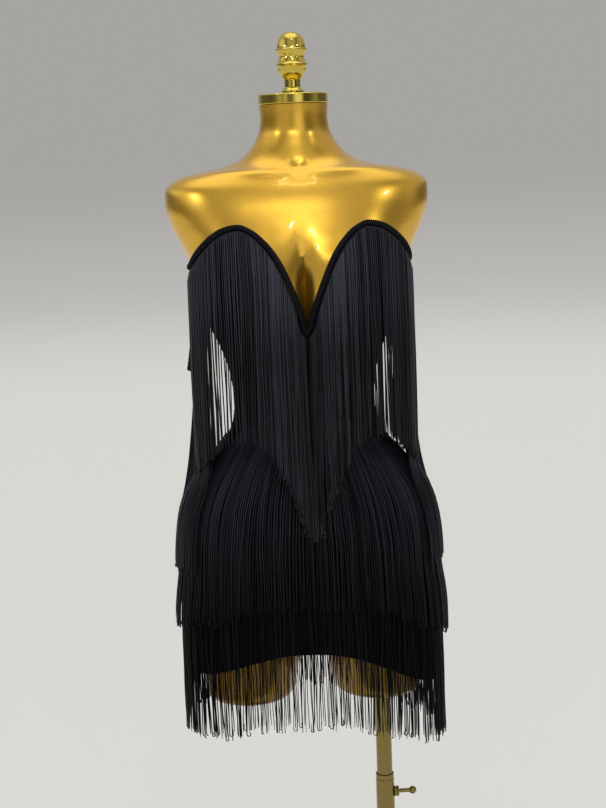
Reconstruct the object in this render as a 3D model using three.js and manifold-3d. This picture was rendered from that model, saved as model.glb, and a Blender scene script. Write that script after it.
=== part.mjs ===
// Strapless fringed mini dress on a gold dress form with an adjustable stand.
// Millimetres, +Z up, front of the dress towards -Y.
// Origin: centre of the base plate's underside.
import * as THREE from 'three';
import Module from 'manifold-3d';

const wasm = await Module();
wasm.setup();

const DEG = Math.PI / 180;
const SEAM_GAP = 0.3;
const TURN_STEP = 0.004;

// Stand: round plate, outer tube, sliding rod and a ball-ended clamp screw.
const PLATE = { radius: 200, thickness: 6, edge: 2.5, footEdge: 1, sides: 36 };
const TUBE = {
  outer: 13.5, inner: 12, top: 458, footRadius: 28, footHeight: 7, footEdge: 2, sides: 24,
};
const ROD = { x: 100, y: 5, radius: 11.5, bottom: 150, top: 702, bevel: 1, sides: 24 };
const BOSS = { z: 428, radius: 7.8, start: 5, reach: 20, bore: 3.6, sides: 20 };
const SCREW = { radius: 3, tip: 12.1, ballCentre: 41, ballRadius: 5.8, ballRings: 8, sides: 12 };
const SOCKET = { radius: 12.4, headroom: 0.3, below: 10, sides: 24 };

// Dress form: horizontal sections from the neck down to below the hem.
// half is the half width, front and back are depths from the middle, power the squareness.
const SECTIONS = [
  { z: 1442, half: 48, front: 48, back: 48, power: 2.0 },
  { z: 1425, half: 47, front: 47, back: 48, power: 2.0 },
  { z: 1408, half: 49, front: 47, back: 50, power: 2.0 },
  { z: 1394, half: 55, front: 50, back: 55, power: 2.0 },
  { z: 1380, half: 65, front: 54, back: 60, power: 2.0 },
  { z: 1367, half: 81, front: 59, back: 66, power: 2.0 },
  { z: 1358, half: 106, front: 64, back: 72, power: 2.05 },
  { z: 1351, half: 146, front: 69, back: 79, power: 2.15 },
  { z: 1343, half: 170, front: 74, back: 85, power: 2.25 },
  { z: 1328, half: 184, front: 81, back: 92, power: 2.35 },
  { z: 1306, half: 185, front: 89, back: 98, power: 2.4 },
  { z: 1280, half: 178, front: 96, back: 102, power: 2.4 },
  { z: 1257, half: 168, front: 101, back: 103, power: 2.35 },
  { z: 1226, half: 153, front: 105, back: 101, power: 2.3 },
  { z: 1190, half: 141, front: 106, back: 97, power: 2.25 },
  { z: 1150, half: 132, front: 102, back: 91, power: 2.2 },
  { z: 1110, half: 114, front: 94, back: 83, power: 2.15 },
  { z: 1070, half: 101.5, front: 85, back: 75, power: 2.1 },
  { z: 1030, half: 97, front: 79, back: 70, power: 2.1 },
  { z: 1005, half: 99.5, front: 78, back: 70, power: 2.1 },
  { z: 985, half: 107, front: 79, back: 73, power: 2.1 },
  { z: 965, half: 121, front: 82, back: 80, power: 2.15 },
  { z: 945, half: 135, front: 86, back: 89, power: 2.2 },
  { z: 925, half: 148, front: 90, back: 98, power: 2.2 },
  { z: 900, half: 160, front: 94, back: 107, power: 2.25 },
  { z: 870, half: 170, front: 98, back: 114, power: 2.25 },
  { z: 835, half: 175, front: 101, back: 119, power: 2.3 },
  { z: 790, half: 178, front: 102, back: 120, power: 2.3 },
  { z: 740, half: 181, front: 101, back: 114, power: 2.3 },
  { z: 700, half: 181, front: 99, back: 108, power: 2.3 },
  { z: 650, half: 180, front: 99, back: 106, power: 2.3 },
  { z: 480, half: 180, front: 99, back: 106, power: 2.3 },
];
// Under the cloth the form is smaller by slack, so the two stay clear of each other.
const TORSO = {
  top: 1442, crotch: 700, columns: 28, slack: 1.3, slackStart: 1330, slackFull: 1295,
};
const CROTCH_RINGS = [{ z: 693, shrink: 0.97 }, { z: 688, shrink: 0.86 }];

// Bust: two soft mounds on the front of the sections.
const BUST = { x: 76, z: 1203, height: 27, spread: 50, drop: 54, sideFade: 4, valleyFill: 0.55 };

// Thigh stumps: x is the middle of the stump on its own side.
const STUMP = [
  { z: 595, x: 94, half: 50, depth: 58 },
  { z: 597, x: 94, half: 58, depth: 66 },
  { z: 603, x: 94, half: 64, depth: 73 },
  { z: 614, x: 94, half: 67, depth: 77 },
  { z: 640, x: 93, half: 70, depth: 80 },
  { z: 680, x: 91, half: 75, depth: 85 },
  { z: 715, x: 88, half: 78, depth: 87 },
  { z: 760, x: 84, half: 70, depth: 80 },
];
const STUMP_SIDES = 18;

// Neck cap and finial.
const CAP = { radius: 48.5, height: 14.5, edge: 1.2, sides: 36 };
const FINIAL = [
  { up: 0, r: 14.9 }, { up: 4.2, r: 15 }, { up: 7.2, r: 13 }, { up: 8.7, r: 11.3 },
  { up: 18.6, r: 11.3 }, { up: 22.3, r: 14.7 }, { up: 26, r: 17.2 }, { up: 30, r: 19 },
  { up: 34, r: 19.6 }, { up: 37.2, r: 20.4 }, { up: 38.6, r: 21.9 }, { up: 49.4, r: 17.2 },
  { up: 52, r: 18 }, { up: 56.4, r: 20.8 }, { up: 59.6, r: 21.9 }, { up: 61.2, r: 20.2 },
  { up: 68.3, r: 18.8 }, { up: 75, r: 16.6 }, { up: 79.8, r: 12.8 }, { up: 82.8, r: 7.4 },
  { up: 84, r: 0 },
];
const FINIAL_SIDES = 12;

// Dress cloth: distances outside the dress form.
const CLOTH = { inner: 1.2, outer: 2.9, waist: 1004, backColumns: 14, skirtColumns: 16 };
const BODICE_ROWS = [0, 0.13, 0.27, 0.4, 0.52, 0.63, 0.73, 0.82, 0.9, 0.96, 1];
const SKIRT_ROWS = [0, 0.25, 0.45, 0.6, 0.7, 0.77, 0.83, 0.88, 0.92, 0.96, 1];

// Neckline: height of the binding's middle line over the distance from the middle of the front.
const NECKLINE = [
  { x: 0, z: 1133 }, { x: 4, z: 1141 }, { x: 9, z: 1162 }, { x: 15, z: 1181 },
  { x: 24, z: 1205 }, { x: 35, z: 1229 }, { x: 46, z: 1247 }, { x: 56, z: 1259 },
  { x: 71, z: 1272 }, { x: 88, z: 1279 }, { x: 106, z: 1276 }, { x: 122, z: 1267 },
  { x: 138, z: 1252 }, { x: 148, z: 1238 }, { x: 155, z: 1223 },
];
const FRONT_TURNS = [0, 1.2, 3, 5.4, 9, 13.5, 18.5, 24, 31, 39, 48, 57, 66, 74, 82, 90];
const STRIP_TURNS = [0.3, 1.5, 3, 4.7, 6.5, 8.5, 11, 14, 18, 23, 29, 36, 44, 52, 60, 67, 74, 80, 85];
const BACK_NECK = { side: 1223, middle: 1212 };
const BINDING = {
  halfWidth: 4.1, halfDepth: 2.6, lift: 3.4, sides: 6, clothGap: 0.9, fringeGap: 1.2,
};
const BINDING_BACK = { from: 90.25, to: 269.75, columns: 20 };
const NECK_SETTLE = { passes: 40, share: 0.35, reach: 0.6 };

// Curved hem of the cloth and the seams that carry the fringe, lowest at the sides.
// The dress sits a little askew: tilt lowers the wearer's left side and raises the right.
const HEM = { side: 630, front: 50, back: 36, power: 4.2, tilt: 17 };
const HIP_SEAM = { side: 968, front: 65, back: 46, power: 2.6, tilt: 11.5 };
const HEM_SEAM = { side: 826, front: 32, back: 24, power: 4, tilt: 16 };

// Ribbed wings that hang straight from under the neckline, flared where they pass the side.
const WING = {
  turns: [57, 70, 83, 90, 97, 106, 117], below: 17, bottom: 1075, lift: 1, wall: 1.2,
  pitch: 12.8, rib: 0.8, flare: 15, bend: 1.6, step: 8,
};
const WING_FLARE = { start: 84, full: 97, foldStart: 106, foldFull: 117, folded: 0.6 };
// The neck fringe is lifted over the wings.
const OVER_WING = { lift: 2.8, start: 50, full: 56, near: 1, far: 8 };

// Fringe: length from seam to end, and the locks that stand for it.
const FRINGE = {
  length: 286, strip: 5, stripDepth: 1.6, stripColumns: 16, lockDepth: 2.2, lift: 1.3,
  rise: 0.2, tip: 0.62, step: 4,
};
const NECK_LOCKS = {
  count: 27, width: 4.9, tolerance: 1.3, startX: 3.5, endX: 151, lastTurn: 84.5, passes: 30,
};
const SIDE_LOCKS = { count: 8, width: 8.6, tolerance: 1.6, first: 59, last: 113 };
const HIP_LOCKS = { count: 24, width: 10.4, tolerance: 1.7, evenAt: 880 };
const HEM_LOCKS = { count: 27, width: 10.4, tolerance: 1.6, evenAt: 740 };
const EVEN_STEPS = 240;

// Where a fringe leaves the cloth to pass over the one below, as depths outside the body.
const OVER_SIDE = { grow: 15.5, start: 980, full: 900 };
// How far the rear strands of the side fringe spread beyond the wing on their way down.
const SIDE_SPREAD = [
  { z: 1075, out: 4 }, { z: 1055, out: 6 }, { z: 1010, out: 9.5 }, { z: 968, out: 14 },
  { z: 925, out: 21 }, { z: 880, out: 31 }, { z: 835, out: 38 }, { z: 786, out: 39.5 },
];
const SPREAD_FROM = { start: 86, full: 98 };
const OVER_HIP = { grow: 13.5, start: 1120, full: 960 };
const OVER_HEM = { grow: 10.4, start: 960, full: 880 };
const LOW_FLARE = { grow: 5, start: 790, full: 700 };
const HEM_FLARE = { grow: 3, start: 760, full: 620 };
const SIDE_PULL = { start: 0.6, full: 0.95 };

const material = (color, roughness, metalness) => new THREE.MeshStandardMaterial({
  color, roughness, metalness,
});
const GOLD_FORM = material(0xc89a32, 0.32, 0.75);
const POLISHED = material(0xb9a24a, 0.14, 1.0);
const POLE_GOLD = material(0x9a8240, 0.3, 1.0);
const BLACK_CLOTH = material(0x111116, 0.85, 0.0);
const BLACK_TRIM = material(0x0c0c10, 0.7, 0.0);
const BLACK_FRINGE = material(0x17181f, 0.6, 0.0);

// Smooth curve through a table, with no overshoot between its rows.
function curveThrough(xs, ys) {
  const last = xs.length - 1;
  const step = xs.slice(1).map((x, i) => (ys[i + 1] - ys[i]) / (x - xs[i]));
  const slope = xs.map((x, i) => {
    if (i === 0) return step[0];
    if (i === last) return step[last - 1];
    if (step[i - 1] * step[i] <= 0) return 0;
    return (2 * step[i - 1] * step[i]) / (step[i - 1] + step[i]);
  });
  return (x) => {
    const clamped = Math.min(Math.max(x, xs[0]), xs[last]);
    let i = 0;
    while (i < last - 1 && clamped > xs[i + 1]) i += 1;
    const width = xs[i + 1] - xs[i];
    const u = (clamped - xs[i]) / width;
    const rise = (2 * u - 3) * u * u + 1;
    const lead = ((u - 2) * u + 1) * u;
    const trail = (u - 1) * u * u;
    return rise * ys[i] + (1 - rise) * ys[i + 1] + width * (lead * slope[i] + trail * slope[i + 1]);
  };
}

function tableCurve(rows, over, column) {
  const sorted = [...rows].sort((a, b) => a[over] - b[over]);
  return curveThrough(sorted.map((row) => row[over]), sorted.map((row) => row[column]));
}

const halfAt = tableCurve(SECTIONS, 'z', 'half');
const frontAt = tableCurve(SECTIONS, 'z', 'front');
const backAt = tableCurve(SECTIONS, 'z', 'back');
const powerAt = tableCurve(SECTIONS, 'z', 'power');
const necklineAt = tableCurve(NECKLINE, 'x', 'z');

// Height of the bust mounds; fill closes the valley between them, as stretched cloth does.
function bustHeight(x, z, fill) {
  const side = Math.abs(x);
  const lift = Math.exp(-(((z - BUST.z) / BUST.drop) ** 2)) * BUST.height;
  const mound = Math.exp(-(((side - BUST.x) / BUST.spread) ** 2));
  const shape = side < BUST.x ? mound + (1 - mound) * fill : mound;
  return lift * shape;
}

// Point of the body at a turn from the front middle, moved out by grow.
function bodyXY(turn, z, fill) {
  const sin = Math.sin(turn);
  const cos = Math.cos(turn);
  const bend = 2 / powerAt(z);
  const x = halfAt(z) * Math.sign(sin) * Math.abs(sin) ** bend;
  const reach = cos > 0 ? frontAt(z) : backAt(z);
  const y = -reach * Math.sign(cos) * Math.abs(cos) ** bend;
  if (cos <= 0) return [x, y];
  return [x, y - bustHeight(x, z, fill) * Math.min(1, cos * BUST.sideFade)];
}

function sideways(turn, z, fill) {
  const [ax, ay] = bodyXY(turn - TURN_STEP, z, fill);
  const [bx, by] = bodyXY(turn + TURN_STEP, z, fill);
  const run = Math.hypot(bx - ax, by - ay);
  return { x: (bx - ax) / run, y: (by - ay) / run, perRadian: run / (2 * TURN_STEP) };
}

function bodyPoint(turn, z, grow, fill) {
  const [x, y] = bodyXY(turn, z, fill);
  const side = sideways(turn, z, fill);
  return new THREE.Vector3(x + side.y * grow, y - side.x * grow, z);
}

const clothPoint = (turn, z, grow) => bodyPoint(turn, z, grow, BUST.valleyFill);

// Closed mesh from rings of points, each ring the same length, capped at both ends.
function loft(rings) {
  const count = rings[0].length;
  const points = rings.flat();
  const faces = [];
  for (let r = 0; r + 1 < rings.length; r += 1) {
    for (let i = 0; i < count; i += 1) {
      const j = (i + 1) % count;
      const low = r * count;
      const high = low + count;
      faces.push([low + i, low + j, high + j], [low + i, high + j, high + i]);
    }
  }
  const end = (rings.length - 1) * count;
  for (let i = 1; i + 1 < count; i += 1) {
    faces.push([0, i + 1, i], [end, end + i, end + i + 1]);
  }
  return outwards(points, faces);
}

// Geometry with its faces turned outwards.
function outwards(points, faces) {
  const cross = new THREE.Vector3();
  let volume = 0;
  faces.forEach(([a, b, c]) => {
    volume += points[a].dot(cross.crossVectors(points[b], points[c]));
  });
  const ordered = volume > 0 ? faces : faces.map(([a, b, c]) => [a, c, b]);
  const geometry = new THREE.BufferGeometry();
  const flat = points.flatMap((p) => [p.x, p.y, p.z]);
  geometry.setAttribute('position', new THREE.Float32BufferAttribute(flat, 3));
  geometry.setIndex(ordered.flat());
  return geometry;
}

function toSolid(geometry) {
  const mesh = new wasm.Mesh({
    numProp: 3,
    vertProperties: new Float32Array(geometry.attributes.position.array),
    triVerts: new Uint32Array(geometry.index.array),
  });
  return new wasm.Manifold(mesh);
}

function toGeometry(solid) {
  const mesh = solid.getMesh();
  const geometry = new THREE.BufferGeometry();
  geometry.setAttribute('position', new THREE.BufferAttribute(mesh.vertProperties, 3));
  geometry.setIndex(new THREE.BufferAttribute(mesh.triVerts, 1));
  return geometry;
}

// Round piece along Z from rows of radius and height, closed on itself or on the axis.
function turned(profile, sides, x = 0, y = 0) {
  const rings = profile.map(([radius, z]) => {
    const ring = [];
    for (let i = 0; i < sides; i += 1) {
      const angle = (i / sides) * 2 * Math.PI;
      ring.push(new THREE.Vector3(x + radius * Math.cos(angle), y + radius * Math.sin(angle), z));
    }
    return ring;
  });
  return loft(rings);
}

// Wall of cloth: columns run from foot to head over the body, each end a turn and a height.
function wall(columns, shares, innerGrow, outerGrow, place = clothPoint) {
  const points = [];
  const faces = [];
  const tall = shares.length;
  const rows = tall - 1;
  const side = (column, grow) => {
    shares.forEach((v) => {
      const turn = THREE.MathUtils.lerp(column.foot.turn, column.head.turn, v);
      const z = THREE.MathUtils.lerp(column.foot.z, column.head.z, v);
      points.push(place(turn, z, typeof grow === 'function' ? grow(v) : grow, v));
    });
  };
  columns.forEach((column) => side(column, outerGrow));
  columns.forEach((column) => side(column, innerGrow));
  const inside = columns.length * tall;
  const quad = (a, b, c, d) => faces.push([a, b, c], [a, c, d]);
  for (let c = 0; c + 1 < columns.length; c += 1) {
    for (let r = 0; r < rows; r += 1) {
      const a = c * tall + r;
      const b = a + tall;
      quad(a, b, b + 1, a + 1);
      quad(inside + a, inside + a + 1, inside + b + 1, inside + b);
    }
    const foot = c * tall;
    const head = foot + rows;
    quad(foot, inside + foot, inside + foot + tall, foot + tall);
    quad(head, head + tall, inside + head + tall, inside + head);
  }
  const lastColumn = (columns.length - 1) * tall;
  for (let r = 0; r < rows; r += 1) {
    quad(r, r + 1, inside + r + 1, inside + r);
    const a = lastColumn + r;
    quad(a, inside + a, inside + a + 1, a + 1);
  }
  return outwards(points, faces);
}

// Height of a curved seam or hem at a turn.
function archAt(arch, turn) {
  const cos = Math.cos(turn);
  const rise = cos > 0 ? arch.front : arch.back;
  return arch.side + rise * Math.abs(cos) ** arch.power - arch.tilt * Math.sin(turn);
}

// Neckline as turns and heights: down in the middle of the front, level at the back.
function necklineSpot(turn) {
  const around = Math.abs(turn);
  if (around > Math.PI / 2) {
    const back = Math.cos(around) ** 2;
    return { turn, z: BACK_NECK.side + (BACK_NECK.middle - BACK_NECK.side) * back };
  }
  let z = BACK_NECK.side;
  for (let pass = 0; pass < NECK_SETTLE.passes; pass += 1) {
    const x = Math.abs(clothPoint(turn, z, CLOTH.outer).x);
    z += (necklineAt(x) - z) * NECK_SETTLE.share;
  }
  return { turn, z };
}

// The same line moved down the cloth, square to its own run.
function neckSpotBelow(turn, distance) {
  const reach = NECK_SETTLE.reach * DEG;
  const here = necklineSpot(turn);
  const before = necklineSpot(turn - reach);
  const after = necklineSpot(turn + reach);
  const scale = sideways(turn, here.z, BUST.valleyFill).perRadian;
  const run = (after.turn - before.turn) * scale;
  const rise = after.z - before.z;
  const length = Math.hypot(run, rise);
  return {
    turn: here.turn + ((rise / length) * distance) / scale,
    z: here.z - (run / length) * distance,
  };
}

const SEAM_INSET = 0.6 * SEAM_GAP;

function seamInset(spot, direction) {
  const scale = sideways(spot.turn, spot.z, BUST.valleyFill).perRadian;
  return { turn: spot.turn + (direction * SEAM_INSET) / scale, z: spot.z };
}

const spaced = (from, to, count) => Array.from(
  { length: count + 1 },
  (unused, i) => from + ((to - from) * i) / count,
);

const anglesAround = (sides) => spaced(0, 2 * Math.PI, sides).slice(0, sides);

// Columns between two lines; the first and last stand back from the seams.
function columnsBetween(turns, footLine, headLine) {
  return turns.map((turn, i) => {
    const column = { foot: footLine(turn), head: headLine(turn) };
    const direction = i === 0 ? 1 : i === turns.length - 1 ? -1 : 0;
    if (direction === 0) return column;
    return { foot: seamInset(column.foot, direction), head: seamInset(column.head, direction) };
  });
}

const level = (z) => (turn) => ({ turn, z });
const arched = (arch, lower = 0) => (turn) => ({ turn, z: archAt(arch, turn) - lower });
const underBinding = (turn) => neckSpotBelow(turn, BINDING.halfWidth + BINDING.clothGap);

// Where the line below the neckline would cross the middle of the front, it stays there.
function keptOnSide(line, side) {
  return (turn) => {
    const spot = line(turn);
    if (side * spot.turn < 0) return { turn: 0, z: spot.z };
    return spot;
  };
}

function frontPanel(side) {
  const turns = FRONT_TURNS.map((turn) => side * turn * DEG);
  if (side < 0) turns.reverse();
  const line = keptOnSide(underBinding, side);
  const columns = columnsBetween(turns, level(CLOTH.waist + SEAM_GAP), line);
  return wall(columns, BODICE_ROWS, CLOTH.inner, CLOTH.outer);
}

function backPanel() {
  const turns = spaced(90, 270, CLOTH.backColumns).map((turn) => turn * DEG);
  const head = (turn) => {
    const around = turn > Math.PI ? turn - 2 * Math.PI : turn;
    return { turn, z: necklineSpot(around).z - BINDING.halfWidth - SEAM_GAP };
  };
  const columns = columnsBetween(turns, level(CLOTH.waist + SEAM_GAP), head);
  return wall(columns, BODICE_ROWS, CLOTH.inner, CLOTH.outer);
}

function skirtPanel(from, to) {
  const turns = spaced(from, to, CLOTH.skirtColumns).map((turn) => turn * DEG);
  const columns = columnsBetween(turns, arched(HEM), level(CLOTH.waist));
  return wall(columns, SKIRT_ROWS, CLOTH.inner, CLOTH.outer);
}

// Binding: a rounded band that runs along one stretch of the neckline.
function binding(turns) {
  const spots = turns.map((turn) => necklineSpot(turn));
  const rings = spots.map((spot, i) => {
    const before = spots[Math.max(i - 1, 0)];
    const after = spots[Math.min(i + 1, spots.length - 1)];
    const at = clothPoint(spot.turn, spot.z, BINDING.lift);
    const along = clothPoint(after.turn, after.z, BINDING.lift);
    along.sub(clothPoint(before.turn, before.z, BINDING.lift)).normalize();
    const side = sideways(spot.turn, spot.z, BUST.valleyFill);
    const out = new THREE.Vector3(side.y, -side.x, 0);
    const across = new THREE.Vector3().crossVectors(out, along).normalize();
    out.crossVectors(along, across).normalize();
    return anglesAround(BINDING.sides).map((angle) => at.clone()
      .addScaledVector(across, Math.cos(angle) * BINDING.halfWidth)
      .addScaledVector(out, Math.sin(angle) * BINDING.halfDepth));
  });
  return loft(rings);
}

// Line along which the wing leaves the cloth.
function wingTop(turn) {
  const around = Math.abs(turn);
  if (around > Math.PI / 2) return necklineSpot(turn).z - WING.below;
  return neckSpotBelow(around, WING.below).z;
}

const WING_INNER = CLOTH.outer + WING.lift;

// Widest point reached on the way down from the wing's top: cloth hangs straight from there.
function hungPoint(turn, z, grow) {
  let held = null;
  const top = wingTop(turn);
  const steps = Math.max(1, Math.ceil((top - z) / WING.step));
  for (let i = 0; i <= steps; i += 1) {
    const height = THREE.MathUtils.lerp(top, z, i / steps);
    const point = clothPoint(turn, height, grow);
    const reach = Math.hypot(point.x, point.y);
    if (held === null || reach >= held.reach) held = { point, reach, z: height };
  }
  const side = sideways(turn, held.z, BUST.valleyFill);
  const at = new THREE.Vector3(held.point.x, held.point.y, z);
  return { at, outX: side.y, outY: -side.x };
}

// Share of the flare at a turn: none at the front, most at the side, less at the rear edge.
function flareShare(turn) {
  const around = Math.abs(turn) / DEG;
  const opened = THREE.MathUtils.smoothstep(around, WING_FLARE.start, WING_FLARE.full);
  const folded = THREE.MathUtils.smoothstep(around, WING_FLARE.foldStart, WING_FLARE.foldFull);
  return opened * (1 - WING_FLARE.folded * folded);
}

function wingPlace(turn, z, grow, v) {
  const { at, outX, outY } = hungPoint(turn, z, WING_INNER);
  const out = grow + WING.flare * flareShare(turn) * (1 - v) ** WING.bend;
  return new THREE.Vector3(at.x + outX * out, at.y + outY * out, z);
}

function wing(side) {
  const turns = WING.turns.map((turn) => side * turn * DEG);
  if (side < 0) turns.reverse();
  const columns = turns.map((turn) => ({
    foot: { turn, z: WING.bottom },
    head: { turn, z: wingTop(turn) },
  }));
  const ribs = Math.round((BACK_NECK.side - WING.bottom) / WING.pitch);
  const ribbed = (v) => WING.wall + WING.rib * (Math.round(v * ribs * 2) % 2);
  return wall(columns, spaced(0, 1, ribs * 2), 0, ribbed, wingPlace);
}

// One lock of fringe: a flat tapering run of three sides along its way down.
function lock(way, width, depth) {
  const rings = way.map((spot, i) => {
    const end = i === way.length - 1 ? FRINGE.tip : 1;
    const out = new THREE.Vector3(spot.outX, spot.outY, 0);
    const side = new THREE.Vector3(-spot.outY, spot.outX, 0);
    const at = spot.at;
    return [
      at.clone().addScaledVector(out, depth / 2).addScaledVector(side, (-width / 2) * end),
      at.clone().addScaledVector(out, depth / 2).addScaledVector(side, (width / 2) * end),
      at.clone().addScaledVector(out, -depth / 2),
    ];
  });
  return loft(rings);
}

// The finely stepped way cut to the fringe's length.
function cutToLength(fine) {
  const kept = [fine[0]];
  let run = 0;
  for (let i = 1; i < fine.length; i += 1) {
    const step = fine[i].at.distanceTo(fine[i - 1].at);
    if (run + step >= FRINGE.length) {
      const u = (FRINGE.length - run) / step;
      kept.push({ ...fine[i], at: fine[i - 1].at.clone().lerp(fine[i].at, u) });
      return kept;
    }
    run += step;
    kept.push(fine[i]);
  }
  return kept;
}

// Fewest spots that stay within a small distance of the whole way.
function thinned(way, tolerance) {
  const first = way[0].at;
  const last = way[way.length - 1].at;
  const line = new THREE.Line3(first, last);
  const nearest = new THREE.Vector3();
  let worst = 0;
  let at = 0;
  for (let i = 1; i + 1 < way.length; i += 1) {
    line.closestPointToPoint(way[i].at, true, nearest);
    const gap = nearest.distanceTo(way[i].at);
    if (gap > worst) {
      worst = gap;
      at = i;
    }
  }
  if (worst < tolerance) return [way[0], way[way.length - 1]];
  const upper = thinned(way.slice(0, at + 1), tolerance);
  return [...upper.slice(0, -1), ...thinned(way.slice(at), tolerance)];
}

// Lies on the body while it widens, and hangs straight down where it narrows.
function clingingWay(turn, top, growAt, tolerance) {
  const fine = [];
  let held = null;
  for (let z = top; z > top - FRINGE.length - FRINGE.step; z -= FRINGE.step) {
    const side = sideways(turn, z, BUST.valleyFill);
    const point = clothPoint(turn, z, growAt(z));
    const reach = Math.hypot(point.x, point.y);
    if (held === null || reach >= held.reach) {
      held = { x: point.x, y: point.y, reach, outX: side.y, outY: -side.x };
    }
    const at = new THREE.Vector3(held.x, held.y, z);
    fine.push({ at, outX: held.outX, outY: held.outY });
  }
  return thinned(cutToLength(fine), tolerance);
}

// Hangs in its own upright plane off the bust, and is pushed out by the hips at the sides.
function hangingWay(turn, top, growAt, tolerance) {
  const start = clothPoint(turn, top, growAt(top));
  const side = sideways(turn, top, BUST.valleyFill);
  const fine = [];
  let { x, y } = start;
  let outX = side.y;
  let outY = -side.x;
  const around = Math.abs(turn) / DEG;
  const overWing = OVER_WING.lift
    * THREE.MathUtils.smoothstep(around, OVER_WING.start, OVER_WING.full);
  for (let z = top; z > top - FRINGE.length - FRINGE.step; z -= FRINGE.step) {
    const grow = growAt(z);
    const power = powerAt(z);
    const half = halfAt(z) + grow;
    const front = frontAt(z) + grow;
    const bust = bustHeight(x, z, BUST.valleyFill);
    const lean = y + bust;
    const size = ((Math.abs(x) / half) ** power + (Math.abs(lean) / front) ** power) ** (1 / power);
    if (size < 1) {
      const sidePull = THREE.MathUtils.smoothstep(
        Math.abs(x) / half,
        SIDE_PULL.start,
        SIDE_PULL.full,
      );
      x = THREE.MathUtils.lerp(x, x / size, sidePull);
      const left = Math.max(0, 1 - (Math.abs(x) / half) ** power);
      y = Math.min(y, -front * left ** (1 / power) - bustHeight(x, z, BUST.valleyFill));
      if (z < CLOTH.waist) {
        const slopeX = Math.sign(x) * (Math.abs(x) / half) ** (power - 1) / half;
        const slopeY = -((Math.abs(lean) / front) ** (power - 1)) / front;
        const slope = Math.hypot(slopeX, slopeY);
        outX = slopeX / slope;
        outY = slopeY / slope;
      }
    }
    const lift = overWing * THREE.MathUtils.smoothstep(top - z, OVER_WING.near, OVER_WING.far);
    fine.push({ at: new THREE.Vector3(x + outX * lift, y + outY * lift, z), outX, outY });
  }
  return thinned(cutToLength(fine), tolerance);
}

// Fringe: locks fused at their roots into a narrow strip that lies on the cloth.
function fringe(stripGeometry, locks) {
  const solids = [stripGeometry, ...locks].map((geometry) => toSolid(geometry));
  return toGeometry(wasm.Manifold.union(solids));
}

const STRIP_INNER = CLOTH.outer + FRINGE.lift;
const STRIP_OUTER = STRIP_INNER + FRINGE.stripDepth;
const LOCK_GROW = STRIP_INNER + FRINGE.lockDepth / 2 + FRINGE.rise;

// 0 above the start height, 1 below the full height, smooth between.
const below = (zone, z) => THREE.MathUtils.smoothstep(-z, -zone.start, -zone.full);
const eased = (zone, z) => THREE.MathUtils.lerp(LOCK_GROW, zone.grow, below(zone, z));

// Depth of each fringe outside the body, so that the lower ones lie under the upper ones.
const neckGrow = (z) => eased(OVER_HIP, z);
const hipGrow = (z) => eased(OVER_HEM, z) + LOW_FLARE.grow * below(LOW_FLARE, z);
const hemGrow = (z) => LOCK_GROW + HEM_FLARE.grow * below(HEM_FLARE, z);
const sideGrow = (z) => eased(OVER_SIDE, z);

function neckFringe(side) {
  const drop = BINDING.halfWidth + BINDING.fringeGap;
  const turns = STRIP_TURNS.map((turn) => side * turn * DEG);
  if (side < 0) turns.reverse();
  const foot = keptOnSide((turn) => neckSpotBelow(turn, drop + FRINGE.strip), side);
  const head = keptOnSide((turn) => neckSpotBelow(turn, drop), side);
  const columns = columnsBetween(turns, foot, head);
  const strip = wall(columns, [0, 1], STRIP_INNER, STRIP_OUTER);
  const locks = [];
  for (let i = 0; i < NECK_LOCKS.count; i += 1) {
    const spot = neckRoot(side, (i + 0.5) / NECK_LOCKS.count, drop + FRINGE.strip / 2);
    const way = hangingWay(spot.turn, spot.z, neckGrow, NECK_LOCKS.tolerance);
    locks.push(lock(way, NECK_LOCKS.width, FRINGE.lockDepth));
  }
  return fringe(strip, locks);
}

// Root at a share of the way from the middle of the front to the side, even in width.
function neckRoot(side, share, distance) {
  const goal = THREE.MathUtils.lerp(NECK_LOCKS.startX, NECK_LOCKS.endX, share);
  let low = STRIP_TURNS[0] * DEG;
  let high = NECK_LOCKS.lastTurn * DEG;
  for (let pass = 0; pass < NECK_LOCKS.passes; pass += 1) {
    const middle = (low + high) / 2;
    const spot = neckSpotBelow(middle, distance);
    if (clothPoint(spot.turn, spot.z, 0).x < goal) low = middle;
    else high = middle;
  }
  const spot = neckSpotBelow(low, distance);
  return { turn: side * spot.turn, z: spot.z };
}

// Side fringe: hangs from the wing's lower edge, spreads at the rear and passes over the hips.
const spreadAt = tableCurve(SIDE_SPREAD, 'z', 'out');

function sidePlace(turn, z, grow) {
  const around = Math.abs(turn) / DEG;
  const rear = THREE.MathUtils.smoothstep(around, SPREAD_FROM.start, SPREAD_FROM.full);
  const { at, outX, outY } = hungPoint(turn, WING.bottom, WING_INNER);
  const out = grow + rear * spreadAt(z);
  return { at: new THREE.Vector3(at.x + outX * out, at.y + outY * out, z), outX, outY };
}

function sideWay(turn) {
  const top = WING.bottom - SEAM_GAP - FRINGE.strip / 2;
  const fine = [];
  for (let z = top; z > top - FRINGE.length - FRINGE.step; z -= FRINGE.step) {
    const hung = sidePlace(turn, z, FRINGE.stripDepth / 2);
    const pushed = clothPoint(turn, z, sideGrow(z));
    const wider = Math.hypot(pushed.x, pushed.y) > Math.hypot(hung.at.x, hung.at.y);
    fine.push(wider ? { ...hung, at: pushed } : hung);
  }
  return thinned(cutToLength(fine), SIDE_LOCKS.tolerance);
}

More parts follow.
